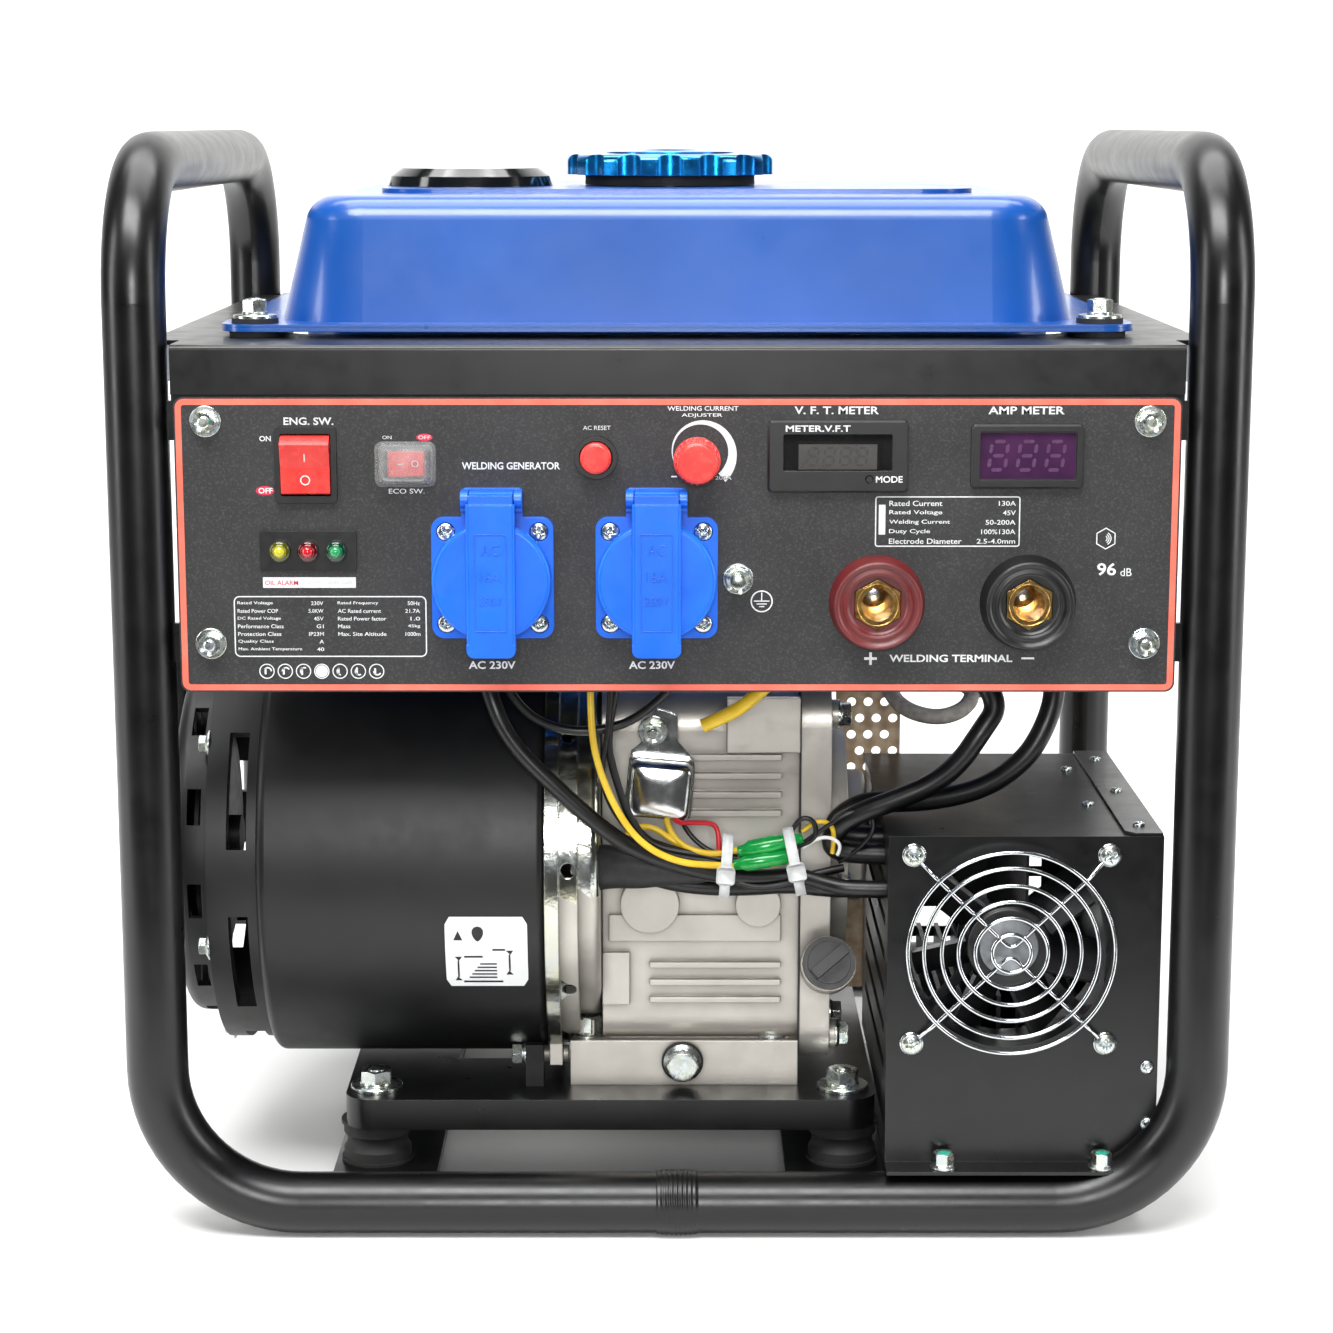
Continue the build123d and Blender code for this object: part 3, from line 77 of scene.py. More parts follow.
def finish(name, tones, tone_size, rough, rough_size, grain, depth, edge=0.25, **sockets):
    """A surface with two tones in patches, a range of roughness, a grain and softened edges, in mm.

    It returns the material, its node tree, the shader and the node with the mixed tones.
    """
    material = bpy.data.materials.new(name)
    material.use_nodes = True
    tree = material.node_tree
    tree.nodes.clear()
    shader = add(tree, "ShaderNodeBsdfPrincipled", sockets)
    add(tree, "ShaderNodeOutputMaterial", links={"Surface": (shader, "BSDF")})
    place = add(tree, "ShaderNodeTexCoord")
    patches = add(tree, "ShaderNodeTexNoise", {"Scale": 1000 / tone_size, "Detail": 4.0},
                  {"Vector": (place, "Object")})
    tone = add(tree, "ShaderNodeValToRGB", links={"Fac": (patches, 0)})
    tone.color_ramp.elements[0].position = 0.35
    tone.color_ramp.elements[0].color = colour(tones[0])
    tone.color_ramp.elements[1].position = 0.65
    tone.color_ramp.elements[1].color = colour(tones[1])
    tree.links.new(tone.outputs[0], shader.inputs["Base Color"])
    smudges = add(tree, "ShaderNodeTexNoise", {"Scale": 1000 / rough_size, "Detail": 5.0, "Roughness": 0.65},
                  {"Vector": (place, "Object")})
    spread = add(tree, "ShaderNodeMapRange", {1: 0.3, 2: 0.7, 3: rough[0], 4: rough[1]}, {0: (smudges, 0)})
    tree.links.new(spread.outputs[0], shader.inputs["Roughness"])
    round_edge = add(tree, "ShaderNodeBevel", {"samples": 4, "Radius": edge / 1000})
    grains = add(tree, "ShaderNodeTexNoise", {"Scale": 1000 / grain, "Detail": 3.0},
                 {"Vector": (place, "Object")})
    bump = add(tree, "ShaderNodeBump", {"Strength": 1.0, "Distance": depth / 1000},
               {"Height": (grains, 0), "Normal": (round_edge, 0)})
    tree.links.new(bump.outputs[0], shader.inputs["Normal"])
    return material, tree, shader, tone


def tint(tree, shader, tone, share, code):
    """Mix a further colour into a finish by the share that a node gives out."""
    mix = add(tree, "ShaderNodeMix", {"data_type": "RGBA", 7: colour(code)}, {0: (share, 0), 6: (tone, 0)})
    tree.links.new(mix.outputs[2], shader.inputs["Base Color"])


def dress(material, *names):
    """Give CAD nodes a finish."""
    for name in names:
        nodes[name].data.materials.clear()
        nodes[name].data.materials.append(material)


def dress_where(material, name, test):
    """Give a second finish to the faces of a CAD node whose middle, in mm, passes the test."""
    mesh = nodes[name].data
    mesh.materials.append(material)
    for face in mesh.polygons:
        if test(*[1000 * c for c in face.center]):
            face.material_index = len(mesh.materials) - 1


def skin(rows, steps):
    """The faces between rows of points that each go once round."""
    return [(i * steps + j, i * steps + (j + 1) % steps, (i + 1) * steps + (j + 1) % steps,
             (i + 1) * steps + j)
            for i in range(rows - 1) for j in range(steps)]


def ladder(count):
    """The faces of a band whose points go in pairs across it."""
    return [(2 * i, 2 * i + 1, 2 * i + 3, 2 * i + 2) for i in range(count)]


def slab(n):
    """The faces of a plate between two outlines of n points."""
    return [list(range(n)), [2 * n - 1 - i for i in range(n)]] + skin(2, n)


def piece(name, points, faces, material, body="frame", slot=None, smooth=True):
    """A new mesh from points in mm, riding on a CAD body."""
    mesh = bpy.data.meshes.new(name)
    mesh.from_pydata([Vector(p) / 1000 for p in points], [], faces)
    mesh.validate()
    mesh.materials.append(material)
    for face in mesh.polygons:
        face.use_smooth = smooth
    part = bpy.data.objects.new(name, mesh)
    bpy.context.scene.collection.objects.link(part)
    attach(part, body)
    return part


# Satin powder coat: a soft wide highlight with a faint orange peel of about 1.5 mm and fine dust.
powder_black, tree, shader, tone = finish(
    "satin_black_powder_coat", ("#050506", "#09090a"), 30, (0.27, 0.36), 14, 1.5, 0.010, IOR=1.5)
place = add(tree, "ShaderNodeTexCoord")
dust = add(tree, "ShaderNodeTexVoronoi", {"Scale": 1000 / 2.2}, {"Vector": (place, "Object")})
specks = add(tree, "ShaderNodeMapRange", {1: 0.10, 2: 0.04, 3: 0.0, 4: 0.2}, {0: (dust, 0)})
tint(tree, shader, tone, specks, "#3a3a3c")
dress(powder_black, "frame_tube_left", "frame_tube_right", "cross_members")

# The seam weld at the front floor run: a ring of overlapping ripples under the same coat.
ripples, round_steps = 9, 48
seam_points = []
for i in range(ripples * 4 + 1):
    along = -9 + 18 * i / (ripples * 4)
    crown = (1 - (along / 9.4) ** 2) ** 0.5
    for j in range(round_steps):
        turn = 2 * pi * j / round_steps
        ripple = 0.22 * sin(2 * pi * (i / 4 + 0.12 * sin(3 * turn) + 0.2 * cos(turn)))
        radius = 12.9 + 1.0 * crown + ripple * crown
        seam_points.append((along, -175.5 + radius * cos(turn), 13 + radius * sin(turn)))
seam_faces = skin(ripples * 4 + 1, round_steps)
piece("frame_seam_weld_front", seam_points, seam_faces, powder_black, slot="powder_coat")
piece("frame_seam_weld_back", [(x, y + 365, z) for x, y, z in seam_points], seam_faces, powder_black,
      slot="powder_coat")

# ------------------------------------------------------------------ engine tray and rubber mounts
# A folded steel tray, coated like the frame, stands on four round rubber blocks with a steel
# washer moulded to each end. Flanged bolts go down through the tray into them.
dress(powder_black, "engine_tray")

# Moulded black rubber: dull, with a skin grain of half a millimetre and a grey bloom in patches.
rubber = finish("moulded_black_rubber", ("#0d0d0d", "#1a1a19"), 12, (0.62, 0.80), 6, 0.5, 0.03, IOR=1.52)[0]
dress(rubber, "rubber_mounts", "tank_bushes", "fuel_cap_gasket")

# Bright zinc plate: silver with a cool and a green cast in patches, as the passivation leaves it,
# and the fine tumbling marks of small bolts.
zinc = finish("passivated_zinc_plate", ("#c4ccd0", "#c9cdbf"), 5, (0.20, 0.36), 3, 0.35, 0.006,
              Metallic=1.0)[0]


def turned(profile, steps=40):
    """Points and faces of a closed shape turned about Z from radius and height pairs, in mm."""
    turns = [2 * pi * j / steps for j in range(steps)]
    points = [(radius * cos(turn), radius * sin(turn), height) for radius,
              height in profile for turn in turns]
    top = (len(profile) - 1) * steps
    return points, skin(len(profile), steps) + [range(top, top + steps), range(steps - 1, -1, -1)]


def hexagon_head(flats, height, steps=60):
    """A forged hexagon head along Z with its 30 degree chamfer and a dished top, in mm."""
    points = []
    rings = ((0.0, 1.0), (height, 1.0), (height, 0.93), (height - 0.35, 0.55), (height - 0.35, 0.02))
    for level, (top, share) in enumerate(rings):
        for j in range(steps):
            turn = 2 * pi * j / steps
            across = (turn + pi / 6) % (pi / 3) - pi / 6
            radius = flats / 2 / cos(across)
            z = top
            if level == 1:
                z = height - 0.58 * (radius - flats / 2 * 0.97)
            if level >= 2:
                radius = flats / 2 * share
            points.append((radius * cos(turn), radius * sin(turn), z))
    return points, skin(len(rings), steps) + [range(4 * steps, 5 * steps)]


def put(shape, at, facing="Z", spin=0.0):
    """Move a shape drawn along Z to a place, facing Z, -Y or X, in mm."""
    turns = {"Z": Matrix.Identity(3), "-Y": Matrix.Rotation(pi / 2, 3, "X"),
             "X": Matrix.Rotation(pi / 2, 3, "Y")}
    matrix = (turns[facing] if isinstance(facing, str) else facing) @ Matrix.Rotation(spin, 3, "Z")
    return [tuple(matrix @ Vector(p) + Vector(at)) for p in shape[0]], shape[1]


def joined(shapes):
    """Several shapes as one list of points and faces."""
    points, faces = [], []
    for more, sides in shapes:
        faces += [[i + len(points) for i in side] for side in sides]
        points += more
    return points, faces


def crisp(part, angle=32):
    """Keep the edges sharp where the faces meet at more than the angle."""
    bm = bmesh.new()
    bm.from_mesh(part.data)
    bmesh.ops.recalc_face_normals(bm, faces=bm.faces)
    for edge in bm.edges:
        if len(edge.link_faces) == 2 and edge.calc_face_angle(0) > radians(angle):
            edge.smooth = False
    bm.to_mesh(part.data)
    bm.free()
    return part


def flange_bolt(flats, height, flange):
    """A hexagon bolt head on its own sloping flange."""
    skirt = turned([(flange, 0), (flange, 0.7), (flange - 0.6, 1.1), (flats / 2 + 0.4, 1.9), (1, 1.9)])
    return joined([skirt, put(hexagon_head(flats, height - 1.8), (0, 0, 1.8))])


def washer_bolt(flats, height, washer, thick=1.5):
    """A hexagon head on a split spring washer and a wide flat washer."""
    flat = turned([(washer, 0), (washer, thick * 0.8), (washer - 0.3, thick), (1, thick)])
    spring = turned([(flats * 0.56, 0), (flats * 0.58, 0.5), (flats * 0.56, 1.2), (1, 1.2)])
    tip = turned([(flats * 0.29, 0), (flats * 0.29, 0.5), (flats * 0.22, 0.9), (0.1, 0.9)])
    return joined([flat, put(spring, (0, 0, thick)), put(hexagon_head(flats, height), (0, 0, thick + 1.2)),
                   put(tip, (0, 0, thick + 0.8 + height))])


tray_spots = [(x, y) for x in (-134, 74) for y in (-115, 101)]
tray_bolts = [put(washer_bolt(13, 5.6, 11.5, 1.8), (x, y, 44.5), spin=0.4 * i) for i,
              (x, y) in enumerate(tray_spots)]
tray_bolt_heads = crisp(piece("tray_bolts", *joined(tray_bolts), zinc, slot="zinc_plate"))

# ------------------------------------------------------------------ top plate and control box
# One folded plate lies across the four uprights and carries the tank. The box behind the control
# panel is thinner sheet. Both have the satin coat of the frame.
dress(powder_black, "top_plate", "control_box")

# ------------------------------------------------------------------ fuel tank
# Two deep-drawn steel shells, seam welded along a flange, enamelled blue and stoved to a gloss.
# Rubber bushes hold the flange off the plate, with a bolt and wide washer through each.

# Gloss blue enamel: a deep clear skin over the colour, with a slow orange peel of about 4 mm.
enamel = finish("stoved_blue_enamel", ("#0f4996", "#114fa0"), 60, (0.27, 0.35), 25, 4.0, 0.012, 0.5,
                IOR=1.52, **{"Coat Weight": 0.4, "Coat Roughness": 0.14})[0]
dress(enamel, "tank_upper_shell", "tank_lower_shell")

tank_spots = [(x, y) for x in (-178, 178) for y in (-130, 144)]
tank_bolts = [put(washer_bolt(9.4, 5.2, 9.2, 1.4), (x, y, 387.6), spin=0.7 * i) for i,
              (x, y) in enumerate(tank_spots)]
tank_heads = crisp(piece("tank_bolt_heads", *joined(tank_bolts), zinc, slot="zinc_plate"))
stems = joined([put(turned([(3, 0), (3, 20)], 20), (x, y, 368)) for x, y in tank_spots])
piece("tank_bolt_threads", *stems, zinc, slot="zinc_plate")
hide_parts("tank_bolts")

# ------------------------------------------------------------------ fuel cap
# A pressed steel screw cap with sixteen finger hollows round its rim, polished, then lacquered
# with a candy blue that lets the metal shine through.

# Candy lacquer: metal under transparent blue, brighter on the crests and darker in the hollows.
candy = finish("candy_blue_lacquer", ("#0c74bd", "#1795dd"), 9, (0.14, 0.28), 4, 1.2, 0.02, 0.8,
               Metallic=0.9, **{"Coat Weight": 1.0, "Coat Roughness": 0.04})[0]
dress(candy, "fuel_cap")
crown = [(30, 0), (30, 0.7), (28.6, 1.3), (27.2, 0.8), (14, 0.9), (13.2, 1.7), (11.6, 2.0), (0.2, 2.1)]
crown_part = piece("fuel_cap_crown_ring", *put(turned(crown, 96), (-3, 7, 454.6)), candy, "cap", "cap_blue")
crisp(crown_part, 50)

# ------------------------------------------------------------------ fuel gauge
# A round gauge of smoked clear plastic pushed into the tank top: a printed dial ring under a clear
# lens, with the red level flag of the float showing in its middle.

# Smoked polycarbonate: nearly black and glossy, letting a little light through at the bevel.
smoked = finish("smoked_polycarbonate", ("#0e1012", "#16191b"), 15, (0.06, 0.14), 6, 2.0, 0.004, 0.4,
                IOR=1.585, **{"Transmission Weight": 0.25})[0]
dress(smoked, "fuel_gauge_housing")

# Red acetal: the flag and float, an even dull red with a moulded grain.
acetal = finish("red_acetal", ("#c3262b", "#cf3034"), 8, (0.35, 0.5), 4, 0.6, 0.01, IOR=1.48)[0]
dress(acetal, "fuel_gauge_float")

# Clear polycarbonate: the lens, slightly green at its edge.
clear = finish("clear_polycarbonate", ("#e4f2ea", "#eef7f2"), 20, (0.03, 0.08), 8, 3.0, 0.003, 0.3,
               IOR=1.585, **{"Transmission Weight": 0.95})[0]
lens = turned([(25, 0), (25, 0.5), (23.4, 0.9), (12, 1.3), (0.2, 1.5)], 72)
piece("fuel_gauge_lens", *put(lens, (-94.5, -5, 443.9)), clear)

# A strip of black sponge rubber closes the gap between the box and the plate over it.
strip = [(x, y, z) for z in (357.0, 361.5) for x, y in ((-206, -181.6), (206, -181.6), (206, -174),
                                                        (-206, -174))]
crisp(piece("control_box_top_seal", strip, slab(4), rubber, slot="black_rubber"))

# White screen ink: flat, with a slightly broken edge where it lies on the grain.
ink = finish("white_screen_ink", ("#d4d7d8", "#e9ebeb"), 1.2, (0.5, 0.62), 3, 0.5, 0.01, 0.02, IOR=1.48)[0]


def sweep_round(radius, first, last, width, at, steps=40):
    """A flat arc band round a middle in the XZ plane, from one angle to another in degrees."""
    points = []
    for i in range(steps + 1):
        turn = radians(first + (last - first) * i / steps)
        for r in (radius - width / 2, radius + width / 2):
            points.append((at[0] + r * cos(turn), at[1], at[2] + r * sin(turn)))
    return points, ladder(steps)


def laid(shape, at):
    """A flat shape from the XZ plane laid down face up at a place."""
    return [(x + at[0], z + at[1], at[2]) for x, y, z in shape[0]], shape[1]


dial = [laid(sweep_round(20, 0, 360, 0.8, (0, 0, 0), 72), (-94.5, -5, 443.2))]
for i in range(9):
    dial.append(laid(sweep_round(17.6, 200 + 17.5 * i - 1.2, 200 + 17.5 * i + 1.2, 3.4, (0, 0, 0), 2),
                     (-94.5, -5, 443.2)))
piece("fuel_gauge_dial_marks", *joined(dial), ink)

# ------------------------------------------------------------------ control panel
# A flat steel sheet with a textured charcoal overlay, screen printed in white, with a coral line
# round its edge. A zinc plated bolt with a washer holds each corner to the box behind.

# Textured polyester overlay: charcoal with a pepper of lighter grains about 0.5 mm apart.
overlay, tree, shader, tone = finish(
    "textured_charcoal_overlay", ("#242425", "#2b2a2b"), 22, (0.48, 0.62), 9, 0.45, 0.03, 0.2, IOR=1.5)
place = add(tree, "ShaderNodeTexCoord")
pepper = add(tree, "ShaderNodeTexNoise", {"Scale": 1000 / 0.9, "Detail": 2.0}, {"Vector": (place, "Object")})
grains = add(tree, "ShaderNodeMapRange", {1: 0.5, 2: 0.75, 3: 0.0, 4: 0.28}, {0: (pepper, 0)})
tint(tree, shader, tone, grains, "#666463")
dress(overlay, "front_panel")


def rounded(x, z, width, height, corner, steps=6):
    """The outline of a rounded rectangle in X and Z about its middle."""
    outline = []
    for sx, sz, start in ((1, 1, 0), (-1, 1, 90), (-1, -1, 180), (1, -1, 270)):
        for i in range(steps + 1):
            turn = radians(start + 90 * i / steps)
            outline.append((x + sx * (width / 2 - corner) + corner * cos(turn),
                            z + sz * (height / 2 - corner) + corner * sin(turn)))
    return outline


def border(x, z, width, height, corner, line, y):
    """A flat printed line along the inside of a rounded rectangle, facing -Y."""
    outer = rounded(x, z, width, height, corner)
    inner = rounded(x, z, width - 2 * line, height - 2 * line, max(corner - line, 0.1))
    return [(a, y, b) for a, b in outer + inner], skin(2, len(outer))


def patch(x, z, width, height, corner, y):
    """A flat rounded patch facing -Y."""
    outline = rounded(x, z, width, height, corner)
    return [(a, y, b) for a, b in outline], [list(range(len(outline)))]


def lettering(words, x, z, width, height, y, bold=0.02):
    """Flat letters facing -Y, fitted to a width and a capital height about their middle, in mm."""
    text = bpy.data.curves.new("letters", "FONT")
    text.body = words
    text.offset = bold
    text.resolution_u = 3
    text.fill_mode = "FRONT"
    holder = bpy.data.objects.new("letters", text)
    bpy.context.scene.collection.objects.link(holder)
    bpy.context.view_layer.update()
    mesh = bpy.data.meshes.new_from_object(holder.evaluated_get(bpy.context.evaluated_depsgraph_get()))
    low = [min(v.co[i] for v in mesh.vertices) for i in (0, 1)]
    high = [max(v.co[i] for v in mesh.vertices) for i in (0, 1)]
    points = [(x + ((v.co[0] - low[0]) / (high[0] - low[0]) - 0.5) * width, y,
               z + ((v.co[1] - low[1]) / (high[1] - low[1]) - 0.5) * height) for v in mesh.vertices]
    faces = [list(face.vertices) for face in mesh.polygons]
    bpy.data.objects.remove(holder)
    bpy.data.meshes.remove(mesh)
    return points, faces


panel_y = -183.0
sign_y = panel_y - 0.08

# Coral overlay ink: a warm even red-orange under the same clear film.
coral = finish("coral_screen_ink", ("#ee6a56", "#f47a66"), 15, (0.42, 0.55), 6, 0.6, 0.01, 0.02, IOR=1.48)[0]
piece("panel_border_print", *border(0, 298.1, 408.6, 120.4, 3.6, 2.5, sign_y), coral, slot="panel_print",
      smooth=False)

# White signs: titles, scales and the two tables of ratings in plain words.
signs = []
for words, x, z, width, height, bold in (
        ("ENG. SW.", -150.1, 349.2, 20.3, 3.1, 0.02), ("ON", -167.9, 342.1, 4.7, 2.2, 0.02),
        ("ECO SW.", -110.6, 320.6, 14.6, 2.0, 0.0), ("ON", -118.3, 342.6, 3.7, 1.4, 0.0),
        ("WELDING GENERATOR", -68.0, 331.0, 40.0, 3.0, 0.02), ("AC RESET", -32.9, 346.5, 11.2, 1.7, 0.0),
        ("AC 230V", -76.5, 248.5, 19.3, 3.3, 0.02), ("AC 230V", -10.6, 248.5, 19.0, 3.3, 0.02),
        ("WELDING CURRENT", 10.2, 354.4, 28.8, 1.9, 0.01), ("ADJUSTER", 9.8, 351.5, 16.6, 1.8, 0.01),
        ("200A", 18.6, 326.1, 6.6, 1.5, 0.0), ("V. F. T. METER", 64.5, 353.6, 34.3, 3.2, 0.02),
        ("AMP METER", 141.6, 353.6, 31.0, 3.2, 0.02), ("+", 79.5, 251.2, 5.2, 5.2, 0.01),
        ("WELDING TERMINAL", 112.6, 251.3, 50.7, 3.1, 0.02), ("96", 175.8, 288.4, 7.8, 5.2, 0.02),
        ("dB", 183.8, 287.2, 4.6, 3.2, 0.0)):
    signs.append(lettering(words, x, z, width, height, sign_y, bold))
signs += [patch(-1.5, 326.6, 2.4, 0.6, 0.2, sign_y), patch(144.3, 251.3, 5.3, 0.8, 0.1, sign_y),
          border(-142.8, 264.6, 79.2, 25.4, 2.4, 0.5, sign_y),
          border(110.3, 308.1, 59.3, 20.8, 1.2, 0.5, sign_y), patch(-151.1, 282.9, 38.1, 4.4, 0.2, sign_y),
          patch(83.5, 308.9, 2.7, 12.3, 0.2, sign_y)]
# The crescent scale round the current knob thickens clockwise from its left end to 200 amperes.
crescent = []
for i in range(61):
    turn = radians(206 - 256 * i / 60)
    share = i / 60
    inner = 11.2 + 0.2 * share
    outer = inner + 0.35 + 4.2 * share ** 1.5
    for r in (inner, outer):
        crescent.append((9.2 + r * cos(turn), sign_y, 336.6 + r * sin(turn)))
signs.append((crescent, ladder(60)))
# The earth sign by its bolt, and a ring for each of the seven care signs, drawn as plain shapes.
signs.append(sweep_round(4.3, 0, 360, 0.55, (34.5, sign_y, 275.1)))
for wide, rise in ((6.4, 0.0), (4.2, -1.2), (2.2, -2.3)):
    signs.append(patch(34.5, 275.2 + rise, wide, 0.45, 0.1, sign_y))
signs.append(patch(34.5, 277.1, 0.45, 3.4, 0.1, sign_y))
for i in range(7):
    x = -169.4 + 7.54 * i
    signs.append(sweep_round(2.95, 0, 360, 0.42, (x, sign_y, 245.9)))
    if i == 3:
        signs.append(sweep_round(1.3, 0, 360, 2.4, (x, sign_y, 245.9)))
    else:
        signs.append(patch(x - 0.6, 245.9, 0.8, 2.6 + 0.3 * (i % 3), 0.3, sign_y))
        signs.append(sweep_round(1.5, 30 * i, 30 * i + 150, 0.6, (x + 0.3, sign_y, 245.9), 12))
for r in (1.1, 1.9, 2.7):
    signs.append(sweep_round(r, -60, 60, 0.4, (174.6, sign_y, 301.1), 10))
signs.append(sweep_round(4.3, 30, 390, 0.5, (175.2, sign_y, 301.1), 6))
rating_rows = (
    ("Rated Voltage", "230V", "Rated Frequency", "50Hz"),
    ("Rated Power COP", "5.0KW", "AC Rated current", "21.7A"),
    ("DC Rated Voltage", "45V", "Rated Power factor", "1.0"), ("Performance Class", "G1", "Mass", "45kg"),
    ("Protection Class", "IP23M", "Max. Site Altitude", "1000m"), ("Quality Class", "A", "", ""),
    ("Max. Ambient Temperature", "40", "", ""))
for row, words in enumerate(rating_rows):
    z = 274.3 - 3.2 * row
    for word, left, right in zip(words, (-180.9, None, -139.7, None), (None, -145.6, None, -105.9)):
        if word:
            wide = 1.06 * len(word) + 0.8
            middle = left + wide / 2 if left else right - wide / 2
            signs.append(lettering(word, middle, z, wide, 1.6, sign_y, 0.008))
weld_rows = (("Rated Current", "130A"), ("Rated Voltage", "45V"), ("Welding Current", "50-200A"),
             ("Duty Cycle", "100%130A"), ("Electrode Diameter", "2.5-4.0mm"))
for row, words in enumerate(weld_rows):
    z = 315.6 - 3.9 * row
    wide = 1.62 * len(words[0]) + 0.6
    signs.append(lettering(words[0], 86.4 + wide / 2, z, wide, 2.2, sign_y, 0.008))
    wide = 1.75 * len(words[1])
    signs.append(lettering(words[1], 138.1 - wide / 2, z, wide, 2.0, sign_y, 0.008))
piece("panel_white_signs", *joined(signs), ink, slot="panel_print", smooth=False)

# Red ink: the ovals behind OFF and the oil lamp's name.
red_ink = finish("red_screen_ink", ("#d02848", "#dc3650"), 4, (0.45, 0.6), 3, 0.5, 0.01, 0.02, IOR=1.48)[0]
ovals = [[(-168.4 + 3.8 * cos(pi * i / 16), sign_y, 320.8 + 1.9 * sin(pi * i / 16)) for i in range(32)],
         [(-103.1 + 3.3 * cos(pi * i / 16), sign_y, 342.6 + 1.5 * sin(pi * i / 16)) for i in range(32)]]
red_signs = [(oval, [list(range(32))]) for oval in ovals]
red_signs.append(lettering("OIL ALARM", -162.5, 282.8, 13.6, 1.9, sign_y - 0.03, 0.01))
piece("panel_red_signs", *joined(red_signs), red_ink, slot="panel_print", smooth=False)
off_signs = [lettering("OFF", -168.2, 320.8, 5.8, 2.3, sign_y - 0.03),
             lettering("OFF", -103.1, 342.6, 4.8, 1.5, sign_y - 0.03, 0.0)]
piece("panel_off_signs", *joined(off_signs), ink, slot="panel_print", smooth=False)

# Grey ink: the two faint names beside the oil lamp's.
grey_ink = finish("grey_screen_ink", ("#a9b3a4", "#b9c3b4"), 4, (0.5, 0.6), 3, 0.5, 0.01, 0.02, IOR=1.48)[0]
grey_signs = [lettering("OUTPUT", -149.0, 282.8, 5.6, 1.0, sign_y - 0.03, 0.0),
              lettering("OVERLOAD", -138.5, 282.8, 9.6, 1.2, sign_y - 0.03, 0.0)]
piece("panel_grey_signs", *joined(grey_signs), grey_ink, slot="panel_print", smooth=False)

panel_spots = [(x, z) for x in (-192, 192) for z in (257.6, 349.2)]
panel_bolts = [put(washer_bolt(8.2, 3.6, 6.4, 1.2), (x, panel_y, z), "-Y", 0.5 * i)
               for i, (x, z) in enumerate(panel_spots)]
panel_heads = crisp(piece("panel_bolt_heads", *joined(panel_bolts), zinc, slot="zinc_plate"))
panel_stems = joined([put(turned([(2.9, -12), (2.9, 0)], 20), (x, panel_y, z), "-Y") for x, z in panel_spots])
piece("panel_bolt_threads", *panel_stems, zinc, slot="zinc_plate")
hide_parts("panel_and_tray_bolts")
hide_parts("panel_and_tray_bolts")

# Green paint marks: a thin dab left on the two upper bolt heads when they were checked tight.
dab = finish("green_checking_paint", ("#1d8a74", "#37b396"), 1.5, (0.3, 0.5), 2, 0.8, 0.05, 0.1, IOR=1.5)[0]
for side in (-1, 1):
    blob = turned([(2.2, 0), (2.0, 0.25), (1.3, 0.4), (0.1, 0.42)], 24)
    dabbed = [(x * (1 + 0.15 * sin(3 * x + z)), y, z * 0.8) for x, y, z in put(blob, (0, 0, 0), "-Y")[0]]
    dabbed = [(x + side * 192 + 0.3, y + panel_y - 6.0, z + 349.3) for x, y, z in dabbed]
    piece("bolt_check_mark_" + ("left" if side < 0 else "right"), dabbed, blob[1], dab)

# ------------------------------------------------------------------ switches and lamps
# Moulded panel parts: the engine rocker, the idling rocker under a clear boot, the breaker's
# button, the current knob and three lamps. Bodies are black ABS and the moving parts red.

# Black ABS: a fine spark-eroded grain of 0.3 mm, satin.
abs_black = finish("moulded_black_abs", ("#0b0b0c", "#101011"), 10, (0.34, 0.46), 5, 0.4, 0.012, IOR=1.54)[0]
dress(abs_black, "engine_switch_body", "eco_switch_body", "indicator_block", "circuit_breaker",
      "current_potentiometer", "engine_meter", "amp_meter", "meter_mode_button")

# Red polycarbonate: glossy and slightly glowing, so its edges look lighter than its faces.
red_gloss = finish("red_polycarbonate", ("#dc3a36", "#e8463f"), 8, (0.20, 0.32), 4, 1.0, 0.006, 0.4,
                   IOR=1.585,
                   **{"Subsurface Weight": 0.15, "Subsurface Radius": (0.002, 0.0006, 0.0004)})[0]
dress(red_gloss, "engine_switch_rocker", "eco_switch_rocker", "reset_button", "current_knob")


def on_rocker(shape, hollow, face, rise, tilt, sideways, pivot):
    """Lay a sign drawn in X and Z onto the two sloping halves of a rocker."""
    points = []
    turn = radians(-tilt if sideways else tilt)
    for x, y, z in shape[0]:
        out = -(face - hollow) - hollow * abs(z) / rise - 0.08
        depth = out * cos(turn) - z * sin(turn)
        height = out * sin(turn) + z * cos(turn)
        right, up = (height, x) if sideways else (x, height)
        points.append((pivot[0] + right, pivot[1] + depth, pivot[2] + up))
    return points, shape[1]


engine_pivot = (-151.5, panel_y + 1.5, 331.5)
marks = [on_rocker(patch(0, 4.6, 0.5, 3.6, 0.1, 0), 1.5, 7.0, 10.24, 11, False, engine_pivot),
         on_rocker(sweep_round(1.8, 0, 360, 0.5, (0, 0, -4.9)), 1.5, 7.0, 10.24, 11, False, engine_pivot)]
piece("engine_rocker_marks", *joined(marks), ink, "engine_rocker")
eco_pivot = (-110.6, panel_y + 1.2, 332.1)
marks = [on_rocker(patch(0, -3.0, 0.4, 2.4, 0.1, 0), 1.1, 5.2, 6.08, 11, True, eco_pivot),
         on_rocker(sweep_round(1.25, 0, 360, 0.4, (0, 0, 2.9)), 1.1, 5.2, 6.08, 11, True, eco_pivot)]
piece("eco_rocker_marks", *joined(marks), ink, "eco_rocker")

